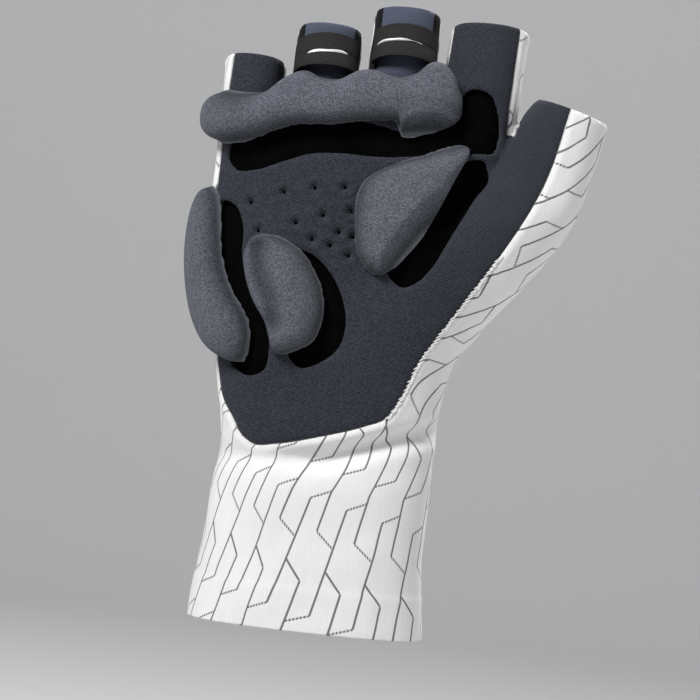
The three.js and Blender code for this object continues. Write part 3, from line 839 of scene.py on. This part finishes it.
palm_skin = copy_of(skin, "palm_skin")
bm = bmesh.new()
bm.from_mesh(palm_skin.data)
for _ in range(2):
    edges = dict.fromkeys(e for f in near_points(bm, PERFORATIONS, FINE_REACH) for e in f.edges)
    bmesh.ops.subdivide_edges(bm, edges=list(edges), cuts=1, use_grid_fill=True)
bmesh.ops.triangulate(bm, faces=[f for f in bm.faces if len(f.verts) > 4])
bm.normal_update()
for v in [v for v in bm.verts if v.co.y < 0]:
    place = v.co / MM
    for x, z in PERFORATIONS:
        away = math.hypot(place.x - x, place.z - z)
        if away < 2 * PERFORATION["dimple"]:
            share = away / PERFORATION["dimple"]
            pressed = -PERFORATION["depth"] * math.exp(-(PERFORATION["steep"] * share) ** 2)
            off_rim = (share - PERFORATION_RIM["at"]) / PERFORATION_RIM["width"]
            raised = PERFORATION_RIM["height"] * math.exp(-off_rim**2)
            v.co += v.normal * (pressed + raised) * MM
bm.to_mesh(palm_skin.data)
bm.free()
palm_surface = BVHTree.FromObject(palm_skin, bpy.context.evaluated_depsgraph_get())

palm = copy_of(palm_skin, "palm_fabric")
cut(palm, palm_side(-SEAM_GAP / 2), "INTERSECT")
for outline in WINDOWS.values():
    cut(palm, cutter(curve_through(outline, closed=True), -4), "DIFFERENCE")
for x, z in PERFORATIONS:
    turns = [2 * math.pi * i / PERFORATION["sides"] for i in range(PERFORATION["sides"])]
    ring = [(x + PERFORATION["hole"] * math.cos(a), z + PERFORATION["hole"] * math.sin(a)) for a in turns]
    cut(palm, cutter(ring, -8), "DIFFERENCE")
finished_cloth(palm, palm_surface, sink=0.4, swell=0.06)
thrown_away(palm_skin)

TWILL_PITCH = 0.64
TWILL_RISE = math.radians(22)
THUMB_TWILL = {"from": 34, "bend": 0.0115, "shows": (22, 44)}
# The side walls of the two middle fingers are plain black, and their tips a little paler.
SIDE_WALLS = {"ring": 7.7, "middle": 7.9}
SIDE_WALL = {"reach": 4, "above": 158}
PALE_TIPS = {"from": 166, "to": 176, "x": -1, "half": 23, "share": 0.55}


def twill(place, x, z, swerve):
    """Slanted ribs as a height from 0 to 1, with uneven yarn."""
    wander = speckle(place, 3.0) * 0.4
    phase = z * math.cos(TWILL_RISE) - x * math.sin(TWILL_RISE) - swerve + wander
    return (phase * (2 * math.pi / TWILL_PITCH)).maths("SINE") * 0.5 + 0.5


def slate_fabric(name, dark, light, ribbing, thumb_ribbing):
    """The slate twill. Its ribs rise to the right, swing up along the thumb and show best there."""
    material, start, place = cloth_material(name)
    x, _, z = parts(place)
    bent = (x - THUMB_TWILL["from"]).maths("MAXIMUM", 0)
    ribs = twill(place, x, z, bent * bent * THUMB_TWILL["bend"])
    share = ribbing + (thumb_ribbing - ribbing) * x.smooth(*THUMB_TWILL["shows"])
    yarn = speckle(place, 0.34).smooth(0.34, 0.66)
    tuft = speckle(place, 0.8).smooth(0.36, 0.64)
    cloud = speckle(place, 9)
    tone = ribs * share + (yarn * 0.6 + tuft * 0.4) * (0.9 - share) + cloud * 0.1
    return material, start, place, tone.mixed(dark, light), ribs * share + yarn * (1 - share)


material, start, place, slate, weave = slate_fabric(
    "palm_fabric", (0.0026, 0.003, 0.0044, 1), (0.062, 0.068, 0.086, 1), 0.36, 0.72
)
x, _, z = parts(place)
walls = []
for finger, half in SIDE_WALLS.items():
    off = abs(x - FINGERS[finger].at(FINGERS[finger].end)["x"])
    walls.append((off > half) * (off < half + SIDE_WALL["reach"]) * (z > SIDE_WALL["above"]))
tips = z.smooth(PALE_TIPS["from"], PALE_TIPS["to"]) * (abs(x - PALE_TIPS["x"]) < PALE_TIPS["half"])
slate = (tips * PALE_TIPS["share"]).mixed(slate, (0.115, 0.135, 0.195, 1))
colour = sum(walls).mixed(slate, (0.006, 0.006, 0.007, 1))
dressed(material, colour, 0.9, weave, 0.12, sheen=0.04, gloss=0.12)
palm.data.materials.append(material)
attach(palm, "root")
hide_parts("palm_panel")

# Lining
# A thin black mesh that lies behind the whole palm fabric and is caught in the same seam. It shows
# only in the four windows and in the perforations. Its near-black colour is partly the mesh's own
# black and partly painted shade for the deep recesses in the windows.
LINING_EDGE = [
    (-40.6, 150), (-41.2, 132), (-40, 108), (-37, 88), (-33.5, 74.5), (-24, 69.5), (-8, 73), (6, 78),
    (18, 92), (30, 105), (39, 124), (44.6, 140), (45.2, 158), (43.4, 171), (36, 174.5), (28, 173),
    (25.6, 160), (0, 159.5), (-30, 159.5),
]
LINING = 0.8
lining = copy_of(skin, "black_lining")
cut(lining, cutter(curve_through(LINING_EDGE, closed=True), -5), "INTERSECT")
bm = bmesh.new()
bm.from_mesh(lining.data)
opened(bm, skin_surface)
bm.normal_update()
for v in bm.verts:
    v.co -= v.normal * (CLOTH + SEAM_GAP) * MM
bm.to_mesh(lining.data)
bm.free()
lining.data.materials.clear()
modified(lining, "SOLIDIFY", thickness=LINING * MM, offset=-1)
settled(lining)
thrown_away(skin)

MESH_PITCH = 0.9
material, start, place = cloth_material("black_lining")
x, _, z = parts(place)
holes = abs((x * (math.pi / MESH_PITCH)).maths("SINE") * (z * (math.pi / MESH_PITCH)).maths("SINE"))
# Near black: partly the mesh's own black and partly painted shade for the recesses in the windows.
black = speckle(place, 5).mixed((0.0008, 0.0008, 0.0009, 1), (0.003, 0.003, 0.0034, 1))
dressed(material, black, 0.98, holes, 0.12, gloss=0.02)
lining.data.materials.append(material)
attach(lining, "root")
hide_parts("palm_lining")

# Pads
# Four soft foam pads under the same slate fabric, stitched down round their foot: one across the
# knuckles, one beside the thumb's web and two on the heel of the hand. They hug the palm.
METACARPAL_PAD = Table(
    "turn low high",
    (188, 150, 157), (170, 146.3, 160.9), (152, 145.4, 161.9), (136.5, 146.7, 161.5),
    (126.7, 149.1, 163.1), (118.3, 151.7, 168.5), (110.9, 153.3, 170.9), (104.2, 154, 168.9),
    (98.1, 154.6, 169.4), (92.8, 155.9, 172.7), (88.6, 156.9, 173.3), (84.3, 157.4, 171.9),
    (81.2, 157.4, 172.1), (79.4, 153.2, 172.9), (77.4, 152.5, 173.4), (72.2, 153.6, 177.3),
    (64, 156.2, 177.1), (60, 157.5, 174.2), (57, 158.8, 171), (55, 160.6, 168.9),
)
OUTER_HEEL_PAD = Table(
    "z from to",
    (78.8, 148, 134), (80.6, 160, 132), (85, 176, 128.5), (92, 188, 129.5), (101, 192, 140),
    (110, 193, 147.5), (119, 193, 151), (126, 190, 154), (130.6, 182, 160), (132.2, 174, 168),
)
INNER_HEEL_PAD = Table(
    "z left right",
    (82.7, -18.6, -16), (83.8, -19.6, -13.6), (86.9, -20.5, -8.2), (91.7, -22.2, -5.6),
    (97.6, -26.4, -4.9), (103.9, -29.4, -6.3), (109.7, -30.9, -9.5), (114.6, -30.9, -13.5),
    (117.7, -29.2, -19), (118.8, -26.6, -22.2),
)
THUMB_WEB_PAD = Table(
    "z left right",
    (110, 8.6, 11.8), (111.4, 6.6, 13.8), (115.1, 3.7, 17.5), (120.8, 2, 21.5), (127.8, 1.2, 25.1),
    (135.3, 1.8, 28.2), (140.5, 5, 30.2), (144.4, 11.5, 31.8), (148, 20.3, 33.4), (151, 27, 34.2),
    (152.9, 31.4, 34.2),
)


def turn_at(x, z, lift=2):
    """The angle round the hand at which its palm side, a little lifted, reaches x."""
    _, middle, half = hand_row(z)
    across = (x - middle) / (half + lift)
    return math.degrees(math.acos(math.copysign(abs(across) ** (BODY_POWER / 2), across)))


def round_the_hand(table, share, along, lift):
    """A point of a pad whose rows run up the hand, one after another round it."""
    turn = table.start + along * (table.end - table.start)
    row = table.at(turn)
    return hand_point(row["high"] + (row["low"] - row["high"]) * share, -math.radians(turn), lift)


def up_the_hand(table, share, along, lift):
    """A point of a pad whose rows run round the hand, one above another."""
    z = table.start + along * (table.end - table.start)
    row = table.at(z)
    if "left" in row:
        ends = turn_at(row["left"], z), turn_at(row["right"], z)
    else:
        ends = row["from"], row["to"]
    return hand_point(z, -math.radians(ends[0] + (ends[1] - ends[0]) * share), lift)


CROWN = {"across": (0.97, 2.6), "along": (0.985, 3.4)}
PAD_FOOT = -0.4


def crown(share, bluntness, power):
    """How high a pad's top is at a share of the way over it, as a share of its full height."""
    return (1 - abs((2 * share - 1) * bluntness) ** power) ** (1 / power)


def pad_form(name, table, place, height, columns, rows):
    """A crowned closed form, whose underside lies just inside the palm fabric."""
    def top(share, along):
        lift = height * crown(share, *CROWN["across"]) * crown(along, *CROWN["along"])
        return place(table, share, along, lift)

    def underside(share, along):
        return place(table, share, along, PAD_FOOT)

    bm = bmesh.new()
    for side in (top, underside):
        half = made("half", sheet_of(columns, rows, side))
        bm.from_mesh(half.data)
        thrown_away(half)
    bmesh.ops.bridge_loops(bm, edges=open_edges(bm))
    bmesh.ops.recalc_face_normals(bm, faces=bm.faces)
    return made(name, bm)


# The filling is blown up as cloth at twenty times its size, because a simulation holds a few
# centimetres badly. The foot stays where it is stitched down, and no point moves past PUFF's most.
PUFF = {"scale": 20, "voxel": 0.75, "frames": 20, "pressure": 4, "start": 0.75, "most": 1.0, "foot": 1.1}


def off_the_palm(point):
    """How far a point is off the skin, in millimetres."""
    return skin_surface.find_nearest(point)[3] / MM


def puffed(pad):
    """Evens out the pad's mesh and blows its filling up."""
    modified(pad, "REMESH", mode="VOXEL", voxel_size=PUFF["voxel"] * MM, use_smooth_shade=True)
    modified(pad, "SMOOTH", factor=0.5, iterations=5)
    settled(pad)
    bm = bmesh.new()
    bm.from_mesh(pad.data)
    bm.normal_update()
    foot = [v.index for v in bm.verts if off_the_palm(v.co) < PUFF["foot"]]
    for v, normal in [(v, v.normal.copy()) for v in bm.verts]:
        v.co -= normal * PUFF["start"] * MM * float(ramp(0.3, 2, off_the_palm(v.co)))
    bm.transform(Matrix.Scale(PUFF["scale"], 4))
    bm.to_mesh(pad.data)
    bm.free()
    pad.vertex_groups.new(name="foot").add(foot, 1, "REPLACE")
    cloth = pad.modifiers.new("cloth", "CLOTH")
    cloth.settings.use_pressure = True
    cloth.settings.uniform_pressure_force = PUFF["pressure"]
    cloth.settings.effector_weights.gravity = 0
    cloth.settings.vertex_group_mass = "foot"
    cloth.point_cache.frame_end = PUFF["frames"]
    for number in range(1, PUFF["frames"] + 1):
        bpy.context.scene.frame_set(number)
    swollen = pad.evaluated_get(bpy.context.evaluated_depsgraph_get()).data
    most = PUFF["most"] * MM * PUFF["scale"]
    places = []
    for still, blown in zip(pad.data.vertices, swollen.vertices):
        move = blown.co - still.co
        places.append((still.co + move * min(1, most / max(move.length, most))) / PUFF["scale"])
    pad.modifiers.clear()
    pad.vertex_groups.clear()
    pad.data.vertices.foreach_set("co", np.array(places, np.float32).ravel())
    bpy.context.scene.frame_set(1)
    return pad


# Two pads have a flat, pressed below a crease that runs between two points seen from the palm. Its
# depths and slopes are those at the crease's two ends. A valley runs down the inner heel pad.
KNUCKLE_FLAT = {
    "crease": [(11.9, 158.8), (33.8, 163.8)], "depths": (-19.4, -15.6), "slopes": (0.95, 0.6),
    "left": 11.6,
}
WEB_FLAT = {
    "crease": [(9.6, 116), (31, 146.5)], "depths": (-25.2, -22.4), "slopes": (1.0, 0.9),
    "left": -50,
}
FLAT_END = {"drop": 9, "over": 1.2, "above": 2}
HEEL_VALLEY = {
    "line": curve_through([(-27, 114.5), (-25.8, 109), (-24.1, 104.5), (-20.6, 98), (-19, 92)]),
    "width": 2.7, "depth": 4.0,
}
DENTED_ABOVE = 0.8


def flattened(flat, x, y, z):
    """How deep a point of a pad lies once the flat is pressed in."""
    (x0, z0), (x1, z1) = flat["crease"]
    below = ((z1 - z0) * (x - x0) - (x1 - x0) * (z - z0)) / math.hypot(x1 - x0, z1 - z0)
    level = np.interp(x, (x0, x1), flat["depths"]) + np.interp(x, (x0, x1), flat["slopes"]) * below
    level -= FLAT_END["drop"] * (1 - float(ramp(0, FLAT_END["over"], x - flat["left"])))
    return max(y, level) if below > -FLAT_END["above"] else y


def furrowed(valley, x, y, z):
    """How deep a point of a pad lies once the valley is pressed in."""
    away = min(math.hypot(x - vx, z - vz) for vx, vz in valley["line"])
    return y + valley["depth"] * math.exp(-((away / valley["width"]) ** 2))


# How far the foot is pressed out, and how far off the palm the painted highlight along the edge reaches
# (marked).
FLANGE = {"out": 0.45, "at": 0.2, "width": 0.5, "marked": 0.9}
# The height off the palm up to which painted shade darkens the pads, in millimetres.
PAINTED_SHADE_HEIGHT = 7.2


def flanged(pad):
    """Presses the pad's foot out into a thin edge, and marks that edge for a painted highlight and the
    height off the palm for painted shade.
    """
    bm = bmesh.new()
    bm.from_mesh(pad.data)
    bm.normal_update()
    bm.verts.layers.float.new("edge")
    bm.verts.layers.float.new("painted_shade_height")
    edge, painted_shade_height = bm.verts.layers.float["edge"], bm.verts.layers.float["painted_shade_height"]
    for v, normal in [(v, v.normal.copy()) for v in bm.verts]:
        _, up, _, off = skin_surface.find_nearest(v.co)
        aside = normal - up * normal.dot(up)
        v.co += aside * FLANGE["out"] * MM * math.exp(-(((off / MM - FLANGE["at"]) / FLANGE["width"]) ** 2))
        # Painted highlight: the thin edge round the pad's foot is marked for a lighter colour.
        v[edge] = math.exp(-((off / MM / FLANGE["marked"]) ** 2))
        # Painted shade: how high the point lies off the palm, for darkening the cloth towards the foot.
        v[painted_shade_height] = float(ramp(0, PAINTED_SHADE_HEIGHT, off / MM))
    bm.to_mesh(pad.data)
    bm.free()


# The pad cloth carries painted light: a painted highlight along the thin edge that is pressed down
# round each pad, and painted shade that darkens it towards its foot, so that its top is lightest.
material, start, place, slate, weave = slate_fabric(
    "pad_fabric", (0.008, 0.009, 0.012, 1), (0.195, 0.211, 0.250, 1), 0.3, 0.5
)
edge = start.node("ShaderNodeAttribute", {"attribute_name": "edge"}, {}, output=2)
painted_shade_height = start.node("ShaderNodeAttribute", {"attribute_name": "painted_shade_height"}, {}, output=2)
# Painted shade: the cloth darkens towards the pad's foot and is lightest on its top.
colour = (painted_shade_height * 0.78 + 0.22).mixed((0.008, 0.009, 0.011, 1), slate)
# Painted highlight: a lighter band along the pad's pressed edge.
colour = (edge * 0.5).mixed(colour, (0.26, 0.28, 0.32, 1))
dressed(material, colour, 0.88, weave, 0.12, sheen=0.06, gloss=0.15)
for name, table, place, height, columns, rows, dent, shape in (
    ("metacarpal", METACARPAL_PAD, round_the_hand, 8, 26, 150, flattened, KNUCKLE_FLAT),
    ("thumb_web", THUMB_WEB_PAD, up_the_hand, 8, 40, 60, flattened, WEB_FLAT),
    ("outer_heel", OUTER_HEEL_PAD, up_the_hand, 7.6, 36, 70, None, None),
    ("inner_heel", INNER_HEEL_PAD, up_the_hand, 7.5, 36, 50, furrowed, HEEL_VALLEY),
):
    pad = puffed(pad_form(name + "_padding", table, place, height, columns, rows))
    if dent:
        for v in pad.data.vertices:
            if off_the_palm(v.co) > DENTED_ABOVE:
                v.co.y = dent(shape, *(v.co / MM)) * MM
    settled(modified(pad, "SMOOTH", factor=0.5, iterations=4))
    flanged(pad)
    modified(pad, "SMOOTH", factor=0.5, iterations=4)
    modified(pad, "SUBSURF", levels=1, render_levels=1)
    settled(pad)
    pad.data.materials.append(material)
    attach(pad, "root")
    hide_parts(name + "_pad")

# Pull tabs
# Black grosgrain webbing over the palm side of the ring and middle fingers, sewn down at both
# sides. Below its middle it stands off the finger as a loop to pull the glove off by.
TABS = {"ring": {"z": 172.2, "tilt": 0.05}, "middle": {"z": 177.6, "tilt": 0.02}}
TAB = {"half": 9.6, "thick": 1.1, "drop": 0.028, "sewn": 0.55, "wrap": 1.02, "sideways": 0.6}
TAB_SECTION = Table(
    "up off",
    (0, 3.0), (0.8, 2.9), (2.4, 2.3), (4, 1.5), (4.8, 1.1), (5.3, 1.25), (6, 1.2), (8, 0.85), (10.2, 0.7),
)
TAB_GRAIN = {"across": 0.9, "up": 0.55}


def on_the_tab(finger, across, up, lift=0):
    """A point of a tab at a place across it and above its lower edge, lifted off its inside."""
    table, tab = FINGERS[finger], TABS[finger]
    z = tab["z"] + up + tab["tilt"] * across - TAB["drop"] * across * across
    row = table.at(min(z, table.end))
    share = abs(across) / TAB["half"]
    off = TAB["sewn"] + (TAB_SECTION.at(up)["off"] - TAB["sewn"]) * (1 - share**4) + lift
    turn = -math.pi / 2 + across / row["half_width"] * TAB["wrap"]
    c, s = unit_section(turn, TUBE_POWER)
    return Vector((
        row["x"] + (row["half_width"] + off * TAB["sideways"]) * c,
        row["y"] + (row["half_depth"] + off) * s,
        z,
    ))


material, start, place = cloth_material("black_webbing")
u, v = on_cloth(start)
weft = (v * (2 * math.pi / TAB_GRAIN["up"])).maths("SINE")
warp = (u * (2 * math.pi / TAB_GRAIN["across"])).maths("SINE")
grain = weft * warp * 0.5 + 0.5
yarn = speckle(place, 0.4)
tone = (grain * 0.45 + yarn * 0.55).smooth(0.25, 0.85)
colour = tone.mixed((0.003, 0.003, 0.003, 1), (0.040, 0.040, 0.038, 1))
dressed(material, colour, 0.85, grain * 0.5 + yarn * 0.5, 0.14)
for finger in TABS:
    def place_of(across, up):
        return on_the_tab(finger, (2 * across - 1) * TAB["half"], up * TAB_SECTION.end)

    bm = sheet_of(48, 34, place_of)
    layer = bm.loops.layers.uv.new("cloth")
    middle = FINGERS[finger].at(FINGERS[finger].end)["x"]
    for face in bm.faces:
        for loop in face.loops:
            loop[layer].uv = loop.vert.co.x / MM - middle, loop.vert.co.z / MM
    bmesh.ops.recalc_face_normals(bm, faces=bm.faces)
    if sum(f.normal.y for f in bm.faces) > 0:
        bmesh.ops.reverse_faces(bm, faces=bm.faces)
    tab = made(finger + "_webbing", bm)
    modified(tab, "SOLIDIFY", thickness=TAB["thick"] * MM, offset=1)
    modified(tab, "BEVEL", width=0.3 * MM, segments=2, limit_method="ANGLE", angle_limit=math.radians(50))
    settled(tab)
    tab.data.materials.append(material)
    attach(tab, "root")
    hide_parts(finger + "_pull_tab")

# Reflective strips
# A thin silver piping is sewn along each tab above the pull loop. It is bright where it lies flat,
# and narrows and turns down at its ends.
STRIPS = {
    "ring": Table(
        "x half down",
        (-8.4, 0.15, 2.4), (-6.6, 0.22, 1.5), (-5.6, 0.27, 1.05), (-4.8, 0.38, 0.85), (0, 0.42, 0.6),
        (4.4, 0.36, 0.4), (5.2, 0.22, 0.5), (6.2, 0.2, 1.2), (8.3, 0.16, 2.6),
    ),
    "middle": Table(
        "x half down",
        (-9.2, 0.12, 1.9), (-8.7, 0.22, 0.9), (-8.0, 0.26, 0.2), (-7.2, 0.38, 0), (-3, 0.42, 0),
        (0.1, 0.36, 0), (1, 0.15, 0.05), (4, 0.13, 0.4), (5.4, 0.2, 0.9), (6.8, 0.14, 1.5),
    ),
}
STRIP_UP = 5.3
material, start, place = cloth_material("reflective_strip")
beads = speckle(place, 0.3)
silver = beads.smooth(0.3, 0.7).mixed((0.60, 0.61, 0.62, 1), (0.95, 0.95, 0.95, 1))
dressed(material, silver, 0.35, beads, 0.08)
material.node_tree.nodes["Principled BSDF"].inputs["Metallic"].default_value = 0.3
for finger, table in STRIPS.items():
    def at(round_it, along):
        across = table.start + along * (table.end - table.start)
        row = table.at(across)
        angle = round_it * 2 * math.pi
        up = STRIP_UP - row["down"] + row["half"] * math.sin(angle)
        return on_the_tab(finger, across, up, TAB["thick"] + 0.1 + row["half"] * 0.8 * math.cos(angle))

    strip = made(finger + "_piping", tube_of(12, 90, at))
    strip.data.materials.append(material)
    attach(strip, "root")
    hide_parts(finger + "_reflective_strip")

# Thumb seam stitches
# Overlock thread of white yarn over the seam at the ball of the thumb. Each thread is a short
# slanted loop from the knit on to the palm fabric, sewn by machine and a little uneven.
STITCHES = {"from": 67, "to": 119, "pitch": 1.45, "lean": 36, "before": 0.85, "length": 2.9, "half": 0.2}
# How much each size varies from thread to thread, and where and how fast its noise is read.
UNEVEN = {"lean": (7, 0, 0.7), "length": (0.3, 5, 0.9), "before": (0.9, 9, 0.8)}
# How each thread arches over the cloth, and how thin its ends are.
STITCH_ARCH = {"high": 0.3, "least": 0.12, "thin_end": 0.35, "taper": 4}


def uneven(size, i):
    """What one thread's size differs by."""
    most, shift, pace = UNEVEN[size]
    return most * noise.noise(Vector((i, shift, 0)) * pace)


line = [p for p in curve_through(PALM_SEAM, step=STITCHES["pitch"]) if p[0] > 10]
bm = bmesh.new()
for i, (x, z) in enumerate(line):
    if STITCHES["from"] < z < STITCHES["to"]:
        lean = math.radians(STITCHES["lean"] + uneven("lean", i))
        reach = STITCHES["length"] * (1 + uneven("length", i))
        before = STITCHES["before"] + uneven("before", i)

        def at(round_it, along):
            out = along * reach - before
            px, pz = x + out * math.cos(lean), z + out * math.sin(lean)
            ground = skin_surface.ray_cast(Vector((px, IN_FRONT, pz)) * MM, Vector((0, 1, 0)))[0] / MM
            taper = STITCH_ARCH["thin_end"] + STITCH_ARCH["taper"] * min(along, 1 - along)
            half = STITCHES["half"] * min(1, taper)
            angle = round_it * 2 * math.pi
            aside, up = half * math.cos(angle), half * math.sin(angle)
            high = STITCH_ARCH["high"] * math.sin(math.pi * along) + STITCH_ARCH["least"]
            return Vector((px - aside * math.sin(lean), ground.y - high - up, pz + aside * math.cos(lean)))

        thread = made("thread", tube_of(6, 8, at))
        bm.from_mesh(thread.data)
        thrown_away(thread)
stitches = made("thumb_seam_stitches", bm)
material, start, place = cloth_material("white_thread")
dressed(material, speckle(place, 0.5).mixed((0.66, 0.66, 0.65, 1), (0.88, 0.88, 0.87, 1)), 0.8, None, 0)
stitches.data.materials.append(material)
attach(stitches, "root")

# Studio
# A plain pale floor that sweeps up all round, four soft area lights and an even pale sky. The floor
# lies well below the glove, which is held up in the air. The camera looks straight at the palm from
# 0.9 m away, level and rolled a little, so that the fingers lean right.
FLOOR_Z = -0.25
FLOOR_REACH = 2.6
SWEEP = 1.0


def bowl_at(turn, out):
    """The floor runs out flat and then sweeps up all round, so that no horizon shows."""
    far = out * (FLOOR_REACH + SWEEP * math.pi / 2 + 1.5)
    angle = turn * 2 * math.pi
    bend = min(max(far - FLOOR_REACH, 0), SWEEP * math.pi / 2) / SWEEP
    reach = min(far, FLOOR_REACH) + SWEEP * math.sin(bend)
    rise = SWEEP * (1 - math.cos(bend)) + max(far - FLOOR_REACH - SWEEP * math.pi / 2, 0)
    return Vector((reach * math.cos(angle), reach * math.sin(angle), FLOOR_Z + rise)) / MM


studio = made("studio", sheet_of(96, 60, bowl_at))
paper = bpy.data.materials.new("paper")
paper.use_nodes = True
paper.node_tree.nodes["Principled BSDF"].inputs["Base Color"].default_value = (0.72, 0.72, 0.725, 1)
paper.node_tree.nodes["Principled BSDF"].inputs["Roughness"].default_value = 0.95
studio.data.materials.append(paper)
bpy.context.scene.view_settings.view_transform = "Standard"


def softbox(name, place, aim, size, power):
    """A square area light at a place in metres that shines at its aim."""
    lamp = bpy.data.lights.new(name, "AREA")
    lamp.size = size
    lamp.energy = power
    light = bpy.data.objects.new(name, lamp)
    light.location = place
    light.rotation_mode = "QUATERNION"
    light.rotation_quaternion = (Vector(aim) - Vector(place)).to_track_quat("-Z", "Y")
    bpy.context.scene.collection.objects.link(light)


softbox("key", (-0.54, -0.64, 0.86), (0, 0, 0.09), 0.32, 14.4)
softbox("fill", (0.9, -0.42, 0.6), (0, 0, 0.07), 0.6, 3.6)
softbox("rim", (0.25, 0.5, 0.82), (0, 0, 0.1), 0.4, 9)
softbox("backdrop", (0, 0.9, 1.3), (0, 3, 0.4), 1.2, 26)
world = bpy.data.worlds.new("world")
world.use_nodes = True
world.node_tree.nodes["Background"].inputs["Color"].default_value = (0.84, 0.87, 0.92, 1)
world.node_tree.nodes["Background"].inputs["Strength"].default_value = 0.10
bpy.context.scene.world = world

VIEW_CENTRE = Vector((4.5, 0, 86.6)) * MM
VIEW_DISTANCE = 900 * MM
VIEW_WIDTH = 217 * MM
VIEW_ROLL = math.radians(6.5)
SENSOR = 36

camera = bpy.data.objects.new("camera", bpy.data.cameras.new("camera"))
camera.data.sensor_width = SENSOR
camera.data.lens = SENSOR * VIEW_DISTANCE / VIEW_WIDTH
bpy.context.scene.collection.objects.link(camera)
bpy.context.scene.camera = camera
camera.matrix_world = (
    Matrix.Translation(VIEW_CENTRE - Vector((0, VIEW_DISTANCE, 0)))
    @ Matrix.Rotation(-VIEW_ROLL, 4, "Y")
    @ Matrix.Rotation(math.radians(90), 4, "X")
)
